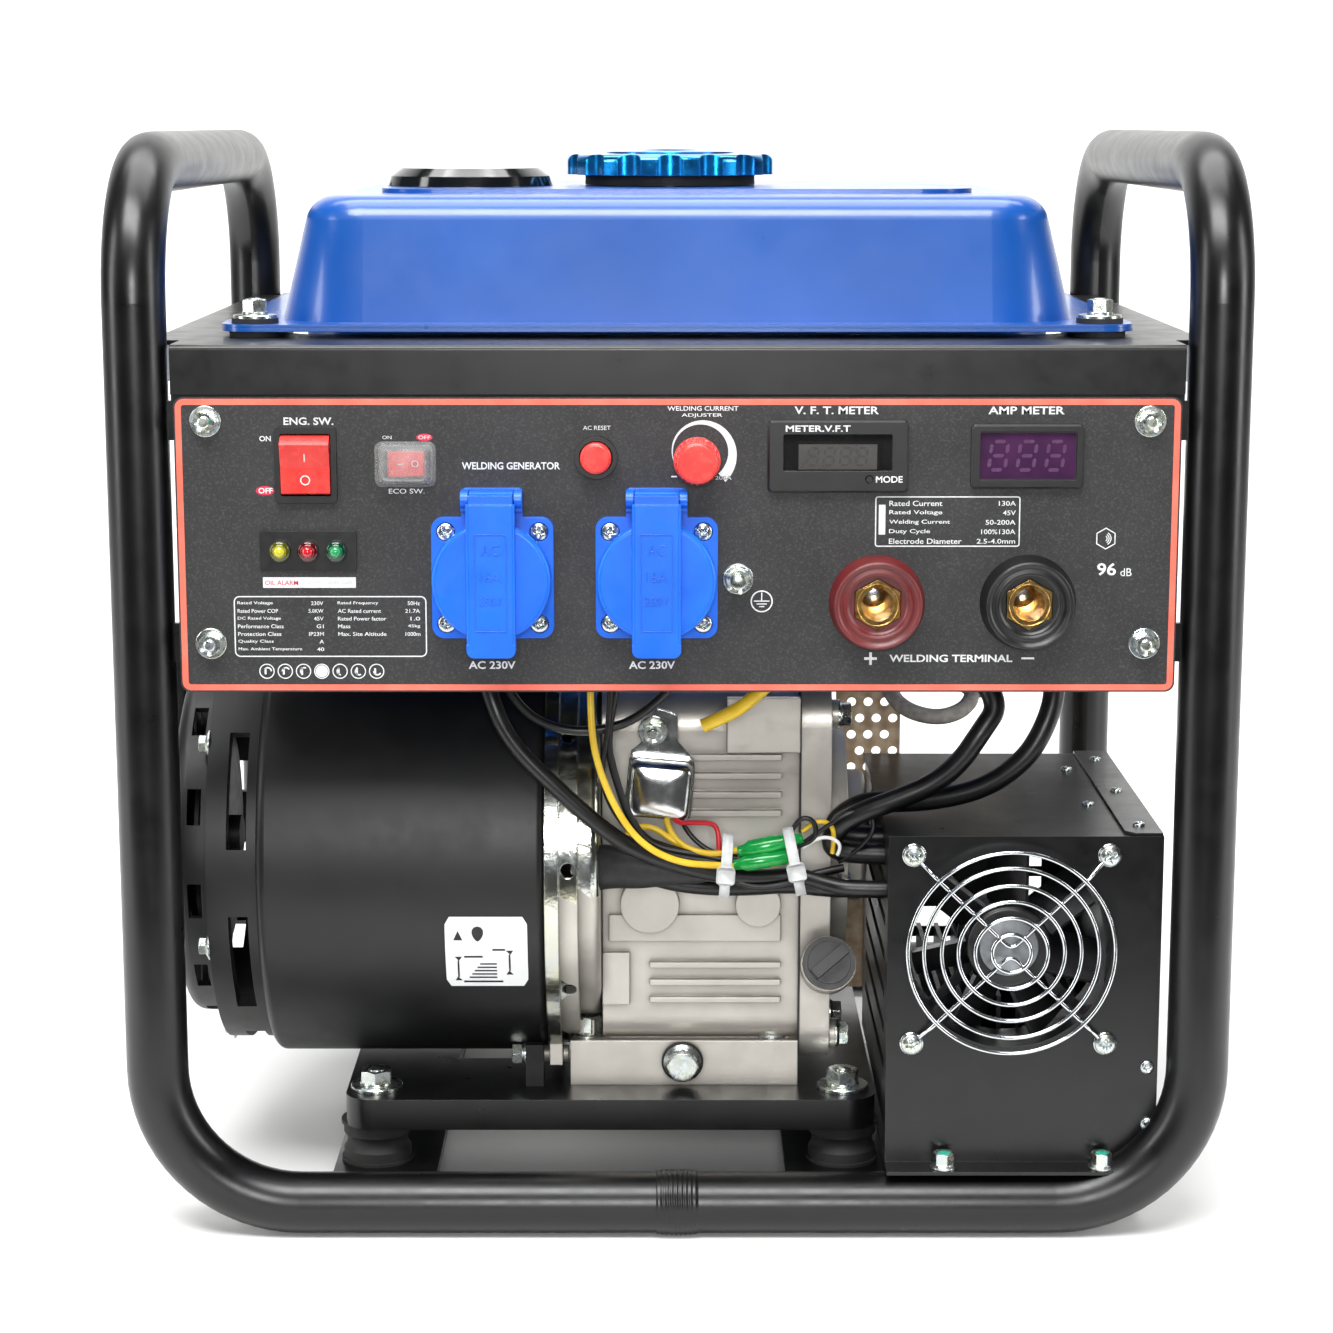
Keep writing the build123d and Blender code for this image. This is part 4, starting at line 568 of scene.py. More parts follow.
# The clear silicone boot: a flanged cap with soft corners, clouded along its folds.
silicone = finish("clear_silicone", ("#b9bab9", "#d5d5d4"), 6, (0.08, 0.2), 5, 1.5, 0.01, 0.5, IOR=1.41,
                  Alpha=0.2)[0]
boot_points = []
boot_rings = ((25.0, 18.6, 3.2, 0.0), (25.0, 18.6, 3.2, 1.0), (24.2, 17.8, 2.9, 1.6), (21.6, 15.6, 2.6, 1.8),
              (20.8, 14.8, 2.6, 6.2), (19.6, 13.6, 2.6, 7.8), (17.6, 11.6, 2.2, 8.5), (16.8, 10.8, 2.0, 7.6),
              (18.6, 12.6, 2.0, 6.8), (19.4, 13.4, 2.0, 1.2), (22.0, 16.0, 2.0, 0.2))
for width, height, corner, out in boot_rings:
    boot_points += [(x, panel_y - 1.9 - out, z) for x, z in rounded(-110.8, 331.9, width, height, corner)]
ring_size = len(boot_points) // len(boot_rings)
boot_faces = skin(len(boot_rings), ring_size) + [range(6 * ring_size, 7 * ring_size),
                                                 range(8 * ring_size - 1, 7 * ring_size - 1, -1)]
piece("eco_switch_clear_boot", boot_points, boot_faces, silicone)

# Lamp lenses: tinted acrylic, dark at the rim, with a painted highlight that makes the colour bright over the
# lamp in the middle.
for i, (rim_tone, painted_highlight_tone, label) in enumerate((("#4a4a06", "#c9c22e", "yellow"),
                                                  ("#4a0508", "#c2222c", "red"),
                                                  ("#06351d", "#2f9a5e", "green"))):
    lens, tree, shader, tone = finish("tinted_acrylic_" + label, (rim_tone, rim_tone), 5, (0.08, 0.16), 3,
                                      1.0, 0.004,
                                      0.3, IOR=1.49, **{"Coat Weight": 0.6})
    place = add(tree, "ShaderNodeTexCoord")
    middle = (-162.7 + 11.5 * i, 0, 296.1)
    apart = add(tree, "ShaderNodeVectorMath", {"operation": "SUBTRACT", 1: Vector(middle) / 1000},
                {0: (place, "Object")})
    flat = add(tree, "ShaderNodeVectorMath", {"operation": "MULTIPLY", 1: (1, 0, 1)}, {0: (apart, 0)})
    away = add(tree, "ShaderNodeVectorMath", {"operation": "LENGTH"}, {0: (flat, 0)})
    # Painted highlight: the base colour turns to the bright tone within about 3 mm of each lamp's middle.
    core = add(tree, "ShaderNodeMapRange", {1: 0.0030, 2: 0.0016, 3: 0.0, 4: 1.0}, {0: (away, "Value")})
    glow = add(tree, "ShaderNodeMix", {"data_type": "RGBA", 6: colour(rim_tone), 7: colour(painted_highlight_tone)},
               {0: (core, 0)})
    tree.links.new(glow.outputs[2], shader.inputs["Base Color"])
    dome = turned([(4.2, 0), (4.2, 0.5), (3.2, 0.9), (2.7, 1.0), (2.4, 2.0), (1.7, 2.9), (0.8, 3.3),
                   (0.05, 3.4)], 36)
    piece("lamp_" + label, *put(dome, (middle[0], panel_y - 2.9, middle[2]), "-Y"), lens)

# ------------------------------------------------------------------ meters
# Two moulded bezels clipped into the panel. The engine meter has a grey liquid crystal window and
# its legend on the bezel, and the ammeter a purple filter over three seven-segment digits.
bezel_signs = [lettering("METER.V.F.T", 56.9, 346.5, 26.3, 2.6, panel_y - 3.28),
               lettering("MODE", 86.0, 325.8, 10.9, 2.7, panel_y - 3.28)]
piece("meter_bezel_signs", *joined(bezel_signs), ink, smooth=False)

# Smoked acrylic: the window of the engine meter, dark grey and mirror smooth.
window_glass = finish("smoked_acrylic_window", ("#19191a", "#202020"), 12, (0.05, 0.1), 6, 4.0, 0.002, 0.1,
                      IOR=1.49)[0]
step = panel_y - 1.7
window_parts = [patch(65.0, 336.5, 44.0, 14.9, 0.6, step),
                border(65.1, 334.9, 34.4, 12.8, 0.6, 1.2, step - 0.4)]
piece("engine_meter_window", *joined(window_parts), window_glass, smooth=False)

# Liquid crystal cell: a warm dark grey polariser, with its segments just darker.
cell = finish("liquid_crystal_cell", ("#3a3735", "#423f3c"), 9, (0.25, 0.35), 5, 0.3, 0.002, 0.05,
              IOR=1.52)[0]
piece("engine_meter_cell", *patch(65.1, 334.9, 32.0, 10.4, 0.3, step - 0.2), cell, smooth=False)


def seven_segments(x, z, width, height, line, y):
    """The seven leaning bars of one digit, facing -Y."""
    bars = []
    half_w, half_h, gap = width / 2, height / 2, line * 0.6
    for bx, bz, long_x in ((0, half_h, 1), (0, 0, 1), (0, -half_h, 1), (-half_w, half_h / 2, 0),
                           (half_w, half_h / 2, 0), (-half_w, -half_h / 2, 0), (half_w, -half_h / 2, 0)):
        reach = half_w - gap if long_x else half_h / 2 - gap
        corners = [(-reach, 0), (-reach + line / 2, line / 2), (reach - line / 2, line / 2),
                   (reach, 0), (reach - line / 2, -line / 2), (-reach + line / 2, -line / 2)]
        bar = []
        for a, b in corners:
            px, pz = (a, b) if long_x else (b, a)
            lean = 0.12 * (bz + pz)
            bar.append((x + bx + px + lean, y, z + bz + pz))
        bars.append((bar, [list(range(6))]))
    return joined(bars)


cell_ink = finish("liquid_crystal_segment", ("#2b2927", "#302d2b"), 9, (0.3, 0.4), 5, 0.3, 0.002, 0.05,
                  IOR=1.52)[0]
cell_digits = [seven_segments(55.0 + 6.6 * i, 335.0, 4.0, 7.0, 0.9, step - 0.3) for i in range(4)]
piece("engine_meter_segments", *joined(cell_digits), cell_ink, smooth=False)

# Purple acrylic filter: deep plum, with the unlit digits a little lighter behind it.
plum = finish("purple_acrylic_filter", ("#3c2040", "#472549"), 14, (0.12, 0.2), 8, 3.0, 0.003, 0.1,
              IOR=1.49)[0]
piece("ammeter_filter", *patch(142.4, 335.3, 38.8, 18.8, 0.4, step), plum, smooth=False)
plum_digit = finish("unlit_digit", ("#553457", "#5c3a5e"), 6, (0.2, 0.3), 4, 1.0, 0.002, 0.05, IOR=1.49)[0]
plum_digits = [seven_segments(130.4 + 11.6 * i, 335.3, 6.6, 11.6, 1.5, step - 0.1) for i in range(3)]
piece("ammeter_digits", *joined(plum_digits), plum_digit, smooth=False)

# ------------------------------------------------------------------ mains sockets
# Two earthed outlets in blue polyamide, each with a sprung lid on a hinge pin. Pan head screws
# with a cross recess hold their flanges to the panel.

# Blue polyamide: a strong azure, satin, with the faint flow of the moulding.
azure = finish("moulded_azure_polyamide", ("#0562d6", "#0a6be4"), 26, (0.30, 0.42), 9, 0.8, 0.012, 0.5,
               IOR=1.53,
               **{"Subsurface Weight": 0.1, "Subsurface Radius": (0.0004, 0.0008, 0.002)})[0]
dress(azure, "socket_bases", "socket_lid_left", "socket_lid_right")
socket_x, socket_z = (-75.7, -8.6), 285.2
for side, x in zip(("left", "right"), socket_x):
    relief = [border(x, 285.5, 13.2, 40.0, 0.8, 0.45, panel_y - 19.62),
              lettering("AC", x, 299.0, 7.5, 4.6, panel_y - 19.62, 0.0),
              lettering("16A", x, 288.0, 8.5, 4.0, panel_y - 19.62, 0.0),
              lettering("250V", x, 278.0, 9.5, 3.6, panel_y - 19.62, 0.0)]
    raised = piece("socket_lid_relief_" + side, *joined(relief), azure, "lid_" + side, "socket_blue", False)
    thick = raised.modifiers.new("thickness", "SOLIDIFY")
    thick.thickness = 0.00022
    thick.offset = 0


def pan_head(radius, height, slot=0.9, rings=14, steps=56):
    """A pan head screw with a cross recess, along Z, in mm."""
    points = []
    profile = [(radius, 0.0), (radius, height * 0.35)]
    for i in range(rings + 1):
        share = 1 - i / rings
        profile.append((radius * (0.02 + 0.95 * share), height * (1 - 0.45 * share ** 3)))
    for r, z in profile:
        for j in range(steps):
            turn = 2 * pi * j / steps
            x, y = r * cos(turn), r * sin(turn)
            arm = min(max(abs(x), abs(y)) / (radius * 0.62), 1.0)
            cut = max(0.0, 1 - (min(abs(x), abs(y)) / (slot * (1.15 - 0.5 * arm))) ** 4) * max(0.0,
                                                                                               1 - arm ** 6)
            points.append((x, y, z - (cut * height * 0.75 if z > height * 0.5 else 0)))
    top = (len(profile) - 1) * steps
    return points, skin(len(profile), steps) + [range(top, top + steps)]


socket_screws = []
for n, x in enumerate(socket_x):
    for i, (dx, dz) in enumerate(((-19, -19), (-19, 19), (19, -19), (19, 19))):
        socket_screws.append(put(pan_head(3.7, 2.2, 0.75), (x + dx, panel_y - 1.6, socket_z + dz), "-Y",
                                 0.5 * i + n))
piece("socket_flange_screws", *joined(socket_screws), zinc, slot="zinc_plate")

# ------------------------------------------------------------------ weld terminals and earth bolt
# Bayonet sockets for the welding leads: a moulded collar, oxide red for plus and black for minus,
# clamps the machined brass insert through the panel. The earth stud stands beside the sockets.

# Oxide red phenolic: dark and dense, satin, with fine filler grain.
phenolic_red = finish("oxide_red_phenolic", ("#5e1719", "#6b1e1f"), 9, (0.32, 0.45), 5, 0.5, 0.012, 0.6,
                      IOR=1.6)[0]
phenolic_black = finish("black_phenolic", ("#09090a", "#0e0e0f"), 9, (0.30, 0.44), 5, 0.5, 0.012, 0.6,
                        IOR=1.6)[0]
dress(phenolic_red, "weld_terminal_positive")
dress(phenolic_black, "weld_terminal_negative")
rim = [(18.2, -0.5), (18.0, 0.9), (17.2, 1.3), (16.3, 0.9), (15.9, 0.15), (14.6, 0.12), (14.2, 0.5),
       (12.7, 0.5),
       (12.4, 0.0)]
terminal_x, terminal_z = (81.8, 143.8), 274.6
collars = ((terminal_x[0], phenolic_red, "positive", "collar_red"),
           (terminal_x[1], phenolic_black, "negative", "black_plastic"))
for x, material, name, slot in collars:
    ring = turned(rim, 96)
    ring = (ring[0], ring[1][:-2])
    piece("terminal_rim_" + name, *put(ring, (x, panel_y - 9, terminal_z), "-Y"), material, slot=slot)

# Machined brass: yellow gold with turning rings 0.3 mm apart on its ends.
brass = finish("machined_brass", ("#d6a95c", "#e4bf7c"), 4, (0.16, 0.28), 2, 0.3, 0.004, 0.3, Metallic=1.0)[0]
dress(brass, "weld_terminal_inserts")
bright_steel = finish("bright_machined_steel", ("#b9bcc0", "#cfd1d3"), 6, (0.16, 0.3), 3, 0.3, 0.005, 0.3,
                      Metallic=1.0)[0]
screws = [put(turned([(5.4, 0), (5.3, 0.8), (4.2, 1.6), (2.2, 2.0), (0.1, 2.1)], 40),
              (x, panel_y + 21.4, terminal_z), "-Y")
          for x in terminal_x]
piece("terminal_clamp_screws", *joined(screws), bright_steel, slot="machined_steel")
# The insert's mouth is turned with a chamfer, and the collar's moulded face closes round its hexagon.
mouths = []
for x in terminal_x:
    bore = turned([(8.8, 0.12), (8.5, 0.25), (7.2, -1.1), (7.1, -8), (6.5, -8.4), (6.5, -12)], 72)
    mouths.append((put(bore, (x, panel_y - 6.4, terminal_z), "-Y")[0], bore[1][:-2]))
crisp(piece("terminal_mouths", *joined(mouths), brass, slot="brass"), 40)
for x, material, name, slot in collars:
    face = []
    for radius, back in ((None, 3.4), (None, 2.9), (11.6, 2.9), (12.45, 2.2)):
        for j in range(72):
            turn = 2 * pi * j / 72
            across = (turn + pi / 6) % (pi / 3) - pi / 6
            r = radius or (9.25 + (0.25 if back == 2.9 else 0)) / cos(across)
            face.append((x + r * cos(turn), panel_y - 9 + back, terminal_z + r * sin(turn)))
    crisp(piece("terminal_face_" + name, face, skin(4, 72), material, slot=slot))

thread = []
for i in range(17):
    thread += [(2.9, 0.3 * i), (3.2, 0.3 * i + 0.15)]
earth_parts = [turned([(6.4, 0), (6.4, 1.0), (6.1, 1.3), (1, 1.3)]),
               put(turned([(5.2, 0), (5.4, 0.6), (5.2, 1.4), (1, 1.4)]), (0, 0, 1.3)),
               put(hexagon_head(10, 4.4), (0, 0, 2.7), spin=0.2),
               put(turned(thread + [(2.4, 5.4), (0.1, 5.4)], 32), (0, 0, 5.2)),
               put(turned([(3, 0), (3, 15)], 20), (0, 0, -15)), put(hexagon_head(10, 5), (0, 0, -7))]
earth = crisp(piece("earth_stud", *put(joined(earth_parts), (24.7, panel_y, 284.5), "-Y"), zinc,
                    slot="zinc_plate"))
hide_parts("earth_bolt")

# ------------------------------------------------------------------ inverter case, fan and guard
# A folded steel case on its own stand holds the inverter board. An axial fan draws air in through
# the front, behind a welded guard of bright wire rings that is held by four pan head screws.
dress(powder_black, "inverter_case")

# A plain back closes the case, with rows of slots for the air to leave.
back_points, back_faces = [], []
for row in range(9):
    for low, high, columns in ((0.0, 5.0, (90, 193)), (5.0, 14.8, (90, 108)), (5.0, 14.8, (132, 151)),
                               (5.0, 14.8, (175, 193))):
        n = len(back_points)
        back_points += [(x, -4.2, 39 + 14.8 * row + z) for z in (low, high) for x in columns]
        back_faces.append((n, n + 1, n + 3, n + 2))
back = piece("inverter_back_cover", back_points, back_faces, powder_black, slot="powder_coat", smooth=False)
back_gauge = back.modifiers.new("thickness", "SOLIDIFY")
back_gauge.thickness = 0.001

# The side sheet folds over the lid along its right edge, held by cross-head screws.
fold = [(x, y, z) for z in (173.1, 174.3) for x, y in ((189, -3.2), (189, -166), (193, -170.5),
                                                       (204.6, -170.5), (204.6, -3.2))]
crisp(piece("inverter_lid_fold", fold, slab(5), powder_black, slot="powder_coat"))
lid_screws = [put(pan_head(2.6, 1.6, 0.6), (x, y, z), "Z", 0.4 + y) for x, y, z in (
    (181, -112, 173.1), (181, -40, 173.1), (196.5, -156, 174.3), (196.5, -90, 174.3), (196.5, -24, 174.3))]
piece("inverter_lid_screws", *joined(lid_screws), zinc, slot="zinc_plate")

# Black anodised aluminium: charcoal with drawing lines along the fins.
anodised = finish("black_anodised_aluminium", ("#1d1d1f", "#262628"), 6, (0.34, 0.46), 3, 0.4, 0.01,
                  Metallic=0.6)[0]
dress(anodised, "inverter_heatsink")

# Glass filled PBT: the fan's frame and blades, black and slightly glossy.
pbt = finish("glass_filled_pbt", ("#111112", "#171718"), 8, (0.26, 0.40), 4, 0.5, 0.010, IOR=1.57)[0]
dress(pbt, "cooling_fan_frame", "cooling_fan_rotor")
fan = (141.0, 123.7)
hub = turned([(12.5, 0), (12.5, 0.25), (12.1, 0.35), (0.1, 0.35)], 48)
label = finish("silver_label_foil", ("#8d9094", "#9ea1a4"), 4, (0.3, 0.4), 3, 0.5, 0.003, 0.1,
               Metallic=0.9)[0]
piece("fan_hub_label", *put(hub, (fan[0], -167.4, fan[1]), "-Y"), label, "fan_rotor")

# Chromed steel wire: mirror bright with faint draw marks along it.
wire_bright = finish("chromed_steel_wire", ("#cdd1d4", "#dde0e2"), 5, (0.10, 0.2), 2, 0.3, 0.003, 0.1,
                     Metallic=1.0)[0]


def strand(name, points, radius, material, ring=False):
    """A round wire, lead or tube along a smooth curve through control points in mm."""
    curve = bpy.data.curves.new(name, "CURVE")
    curve.dimensions = "3D"
    curve.bevel_depth = radius / 1000
    curve.bevel_resolution = 5
    curve.resolution_u = 10
    curve.use_fill_caps = not ring
    spline = curve.splines.new("NURBS")
    spline.points.add(len(points) - 1)
    for knot, point in zip(spline.points, points):
        knot.co = (*[c / 1000 for c in point], 1)
    spline.order_u = 3
    spline.use_endpoint_u = not ring
    spline.use_cyclic_u = ring
    curve.materials.append(material)
    part = bpy.data.objects.new(name, curve)
    bpy.context.scene.collection.objects.link(part)
    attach(part, "frame")
    return part


for n, radius in enumerate((8.2, 15.4, 22.5, 29.5, 37.0, 43.8)):
    spread = radius / cos(pi / 24)
    knots = [(fan[0] + spread * cos(pi * i / 12), -177.2,
              fan[1] + spread * sin(pi * i / 12)) for i in range(24)]
    strand("fan_guard_ring_" + str(n + 1), knots, 0.95, wire_bright, True)
for name, side, tip in (("a", 1, 2.6), ("b", -1, -2.6)):
    half = [(41.2, -172.2, 41.2), (38.6, -172.4, 38.6), (35.5, -173.6, 35.5), (33.4, -175.3, 33.4),
            (30, -175.4, 30), (20, -175.4, 20.4), (9, -175.4, 10), (3.2, -175.4, 4.2)]
    knots = [(fan[0] - x, y, fan[1] + side * z) for x, y, z in half]
    knots += [(fan[0] - 1.2, -175.4, fan[1] + tip), (fan[0] + 1.2, -175.4, fan[1] + tip)]
    knots += [(fan[0] + x, y, fan[1] + side * z) for x, y, z in reversed(half)]
    strand("fan_guard_bar_" + name, knots, 0.95, wire_bright)
eyes = []
for dx in (-41.25, 41.25):
    for dz in (-41.25, 41.25):
        eye_turn = turned([(4.9, 0), (5.2, 0.5), (4.9, 1.0), (3.4, 1.1), (3.4, 0)], 36)
        eyes.append(put((eye_turn[0], eye_turn[1][:-2]), (fan[0] + dx, -171.1, fan[1] + dz), "-Y"))
guard_eyes = piece("fan_guard_eyes", *joined(eyes), wire_bright, slot="steel_wire")
guard_screws = []
for i, (dx, dz) in enumerate(((-41.25, -41.25), (-41.25, 41.25), (41.25, -41.25), (41.25, 41.25))):
    guard_screws.append(put(pan_head(4.6, 2.6, 0.95), (fan[0] + dx, -172.0, fan[1] + dz), "-Y",
                            0.3 + 0.6 * i))
for i, (x, z) in enumerate(((200.5, 71.9), (201.3, 46.5))):
    guard_screws.append(put(pan_head(3.0, 1.8, 0.7), (x, -171.0, z), "-Y", 0.2 + i))
piece("inverter_cross_head_screws", *joined(guard_screws), zinc, slot="zinc_plate")
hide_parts("fan_guard")
stand_bolts = [put(flange_bolt(8, 6.8, 5.6), (x, -178, 29.6), "Z", 0.5 * x) for x in (113.6, 181.0)]
crisp(piece("inverter_stand_bolts", *joined(stand_bolts), zinc, slot="zinc_plate"))
marks = [put(turned([(3.0, 0), (2.6, 0.25), (0.1, 0.3)], 24), (x + 0.3, -178.3, 36.1)) for x in (113.6,
                                                                                                 181.0)]
piece("inverter_bolt_check_marks", *joined(marks), dab)

# ------------------------------------------------------------------ generator and starter
# The generator sits in a pressed drum painted heat-proof matt black. A zinc plated stamped ring
# closes it against the crankcase, and the starter's slotted cover stands at its outer end.

# Matt heat-proof paint: a broad dull highlight with a powdery grain of 0.4 mm.
matt_black = finish("matt_heatproof_black", ("#0a0a0b", "#0f0f10"), 24, (0.40, 0.50), 18, 0.5, 0.014,
                    IOR=1.5)[0]
dress(matt_black, "generator_shell", "recoil_cover", "flywheel_rotor")
dress(abs_black, "recoil_pulley", "recoil_handle", "oil_filler_plug", "air_cleaner", "choke_lever")
# Bare laminated steel and copper varnish of the stator: grey brown, dull.
lamination = finish("varnished_laminations", ("#4a3f36", "#5d5046"), 5, (0.4, 0.6), 3, 0.5, 0.05, 0.3,
                    Metallic=0.5)[0]
dress(lamination, "stator_core")
dress(bright_steel, "crank_train")

# Stamped zinc plated sheet: bright, with long soft waves of the pressing and a yellow-green cast.
stamped = finish("stamped_zinc_sheet", ("#bfc4c4", "#c8c6b0"), 16, (0.12, 0.24), 9, 9.0, 0.35, 0.9,
                 Metallic=1.0)[0]
dress(stamped, "generator_end_plate")


def round_drum(shape, radius, axis_y=-55.0, axis_z=146.0):
    """Wrap a flat shape from the XZ plane onto the front of a drum along X."""
    return [(x, axis_y - (radius ** 2 - (z - axis_z) ** 2) ** 0.5 + y, z) for x, y, z in shape[0]], shape[1]


def gridded(x, z, width, height, rows=10):
    """A flat patch cut into level strips so that it can follow a drum."""
    points = []
    for i in range(rows + 1):
        rise = z - height / 2 + height * i / rows
        inset = 2.0 * max(0.0, 1 - min(i, rows - i) / 1.2) ** 2
        points += [(x - width / 2 + inset, 0, rise), (x + width / 2 - inset, 0, rise)]
    return points, ladder(rows)


# White vinyl: the oil level sticker, satin, with a plain drawing of a sump and a drop in black.
vinyl = finish("white_vinyl", ("#e6e8e9", "#f1f2f2"), 14, (0.32, 0.42), 8, 2.0, 0.008, 0.1, IOR=1.53)[0]
piece("oil_sticker", *round_drum(gridded(-82.3, 116, 35.5, 34.0), 98.18), vinyl)
black_ink = finish("black_screen_ink", ("#151515", "#1f1f1f"), 4, (0.4, 0.5), 3, 0.5, 0.005, 0.02,
                   IOR=1.48)[0]
drawing = []
for i in range(5):
    drawing.append(gridded(-84 + 0.6 * i, 103.6 + 1.7 * i, 16 - 1.2 * i, 0.7, 1))
drawing += [gridded(-94.6, 108, 0.8, 12, 6), gridded(-72.4, 111, 0.8, 12, 6), gridded(-84, 101.4, 21, 0.9, 1),
            gridded(-77, 117.4, 9.5, 0.9, 1), gridded(-88, 114, 12, 0.9, 1)]
drop = []
for i in range(13):
    turn = 2 * pi * i / 12
    drop.append((-86 + 3.1 * sin(turn) * (0.35 + 0.65 * sin(turn / 2)), 0, 125 - 3.6 * cos(turn)))
drawing.append((drop[:12], [list(range(12))]))
drawing.append(([(-96.5, 0, 122), (-92.5, 0, 122), (-94.5, 0, 126.5)], [[0, 1, 2]]))
piece("oil_sticker_drawing", *round_drum(joined(drawing), 98.3), black_ink, smooth=False)

# Small flange bolts hold the starter cover's ring to the drum.
shell_bolts = []
for turn in (20, 80, 140, 200, 260, 320):
    y, z = -55 + 88 * cos(radians(turn)), 146 + 88 * sin(radians(turn))
    shell_bolts.append(put(flange_bolt(7, 5.0, 6.0), (-202.8, y, z), Matrix.Rotation(-pi / 2, 3, "Y"), 0.3))
crisp(piece("starter_cover_bolts", *joined(shell_bolts), zinc, slot="zinc_plate"))

# ------------------------------------------------------------------ engine
# A single cylinder petrol engine in die-cast aluminium: a crankcase with a bolted side cover, and
# a finned cylinder that leans to the back. It is fixed to the tray by four bolts through its foot.

# Die-cast aluminium: warm silver grey, sandy at 0.6 mm, with painted shade that darkens its inner corners.
cast, tree, shader, tone = finish("die_cast_aluminium", ("#c2bdb5", "#cecac2"), 26, (0.34, 0.52), 9, 0.7,
                                  0.05, 0.8,
                                  Metallic=0.72)
# Painted shade: an occlusion mask darkens the colour where the inner corners fall into shade.
painted_corner_shade = add(tree, "ShaderNodeAmbientOcclusion", {"samples": 6, "Distance": 0.006})
painted_shade_share = add(tree, "ShaderNodeMapRange", {1: 0.35, 2: 0.95, 3: 0.75, 4: 0.0}, {0: (painted_corner_shade, "AO")})
tint(tree, shader, tone, painted_shade_share, "#57524b")
dress(cast, "crankcase", "crankcase_side_cover", "cylinder_head", "carburettor")
dress_where(cast, "generator_end_plate",
            lambda x, y, z: x > -48.6 and z < 140 or x > -59.6 and y < -95 and z < 61.5)
dress_where(rubber, "generator_end_plate", lambda x, y, z: x < -59.3 and y < -95 and z < 70)

# The gasket between the crankcase and its cover: grey-black sheet with graphite on its edge.
gasket = finish("graphite_gasket_sheet", ("#2a2a2a", "#3c3b39"), 3, (0.6, 0.8), 2, 0.6, 0.05, 0.1, IOR=1.5)[0]
seam = []
for x in (54.02, 54.58):
    for inset in (0.0, 6.0):
        outline = rounded(-50, 140, 126.4 - 2 * inset, 172.4 - 2 * inset, 18 - inset / 2)
        seam += [(x, y, z) for y, z in outline]
count = len(seam) // 4
sides = []
for low, high in ((0, 1), (1, 3), (3, 2), (2, 0)):
    for i in range(count):
        k = (i + 1) % count
        sides.append((low * count + i, low * count + k, high * count + k, high * count + i))
piece("crankcase_gasket", seam, sides, gasket, smooth=False)

engine_bolts = [put(flange_bolt(12.2, 9.0, 8.6), (x, y, 65.1), "Z", 0.3 + 0.5 * i)
                for i, (x, y) in enumerate(((-40.5, -101), (-40.5, 27), (42.5, -101), (42.5, 27)))]
cover_spots = ((-103, 212), (-107, 136), (-103, 66), (3, 66), (7, 136), (3, 212), (-51, 219), (-51, 60))
engine_bolts += [put(flange_bolt(9.6, 5.8, 6.4), (71.0, y, z), "X", 0.4 * i) for i,
                 (y, z) in enumerate(cover_spots)]
engine_bolts.append(put(flange_bolt(12.4, 7.4, 8.4), (2.5, -114.2, 55.6), "-Y", 0.5))
engine_bolts.append(put(flange_bolt(8.4, 6.4, 5.6), (-67.5, -105, 57), Matrix.Rotation(-pi / 2, 3, "Y"), 0.2))
crisp(piece("engine_flange_bolts", *joined(engine_bolts), zinc, slot="zinc_plate"))
drain_ring = turned([(9.2, 0), (9.3, 0.6), (9.0, 1.4), (6, 1.4)], 40)
piece("oil_drain_seal", *put(drain_ring, (2.5, -112.9, 55.6), "-Y"), rubber)

# Spark plug, its rubber cap and the ignition lead, on the upper side of the leaning head.
upright = Matrix.Rotation(radians(25), 3, "X")
porcelain = finish("glazed_porcelain", ("#e9e7e0", "#f4f2ec"), 8, (0.1, 0.18), 4, 2.0, 0.002, 0.3,
                   IOR=1.54)[0]
plug_spot = Vector((10, 68.6, 250))
plug_line = Vector((0, -0.4226, 0.9063))
insulator = turned([(4.6, 0), (4.6, 6), (4.0, 8), (3.6, 16), (0.1, 16)], 32)
piece("spark_plug_insulator", *put(insulator, plug_spot - 2 * plug_line, upright), porcelain)
shell = joined([hexagon_head(16, 6), put(turned([(7, -6), (7, 0), (1, 0)], 32), (0, 0, 0))])
crisp(piece("spark_plug_shell", *put(shell, plug_spot - 8 * plug_line, upright), zinc, slot="zinc_plate"))
cap_shape = turned([(7.2, 0), (8.0, 1.5), (7.6, 3), (7.0, 4), (6.6, 18), (6.8, 24), (6.2, 28), (3.8, 30),
                    (0.1, 30)], 40)
piece("spark_plug_cap", *put(cap_shape, plug_spot + 5 * plug_line, upright), rubber, slot="black_rubber")
lead_start = plug_spot + 30 * plug_line
strand("ignition_lead", [lead_start, lead_start + Vector((0, -6, 12)), lead_start + Vector((-4, -26, 18)),
                         lead_start + Vector((-14, -48, 2)), lead_start + Vector((-24, -66, -30)),
                         (-22, -20, 224)],
       3.3, rubber)

# ------------------------------------------------------------------ exhaust and air cleaner
# A pressed silencer stands behind the engine, and the pipe to it is bandaged with heat tape. The
# air cleaner is a black moulded box behind the generator.

# High temperature black: a thin flat paint over pressed steel, slightly uneven.
heat_black = finish("high_temperature_black", ("#0f0f10", "#1b1b1b"), 18, (0.5, 0.68), 10, 0.7, 0.02, 0.6,
                    IOR=1.5)[0]
dress(heat_black, "muffler")

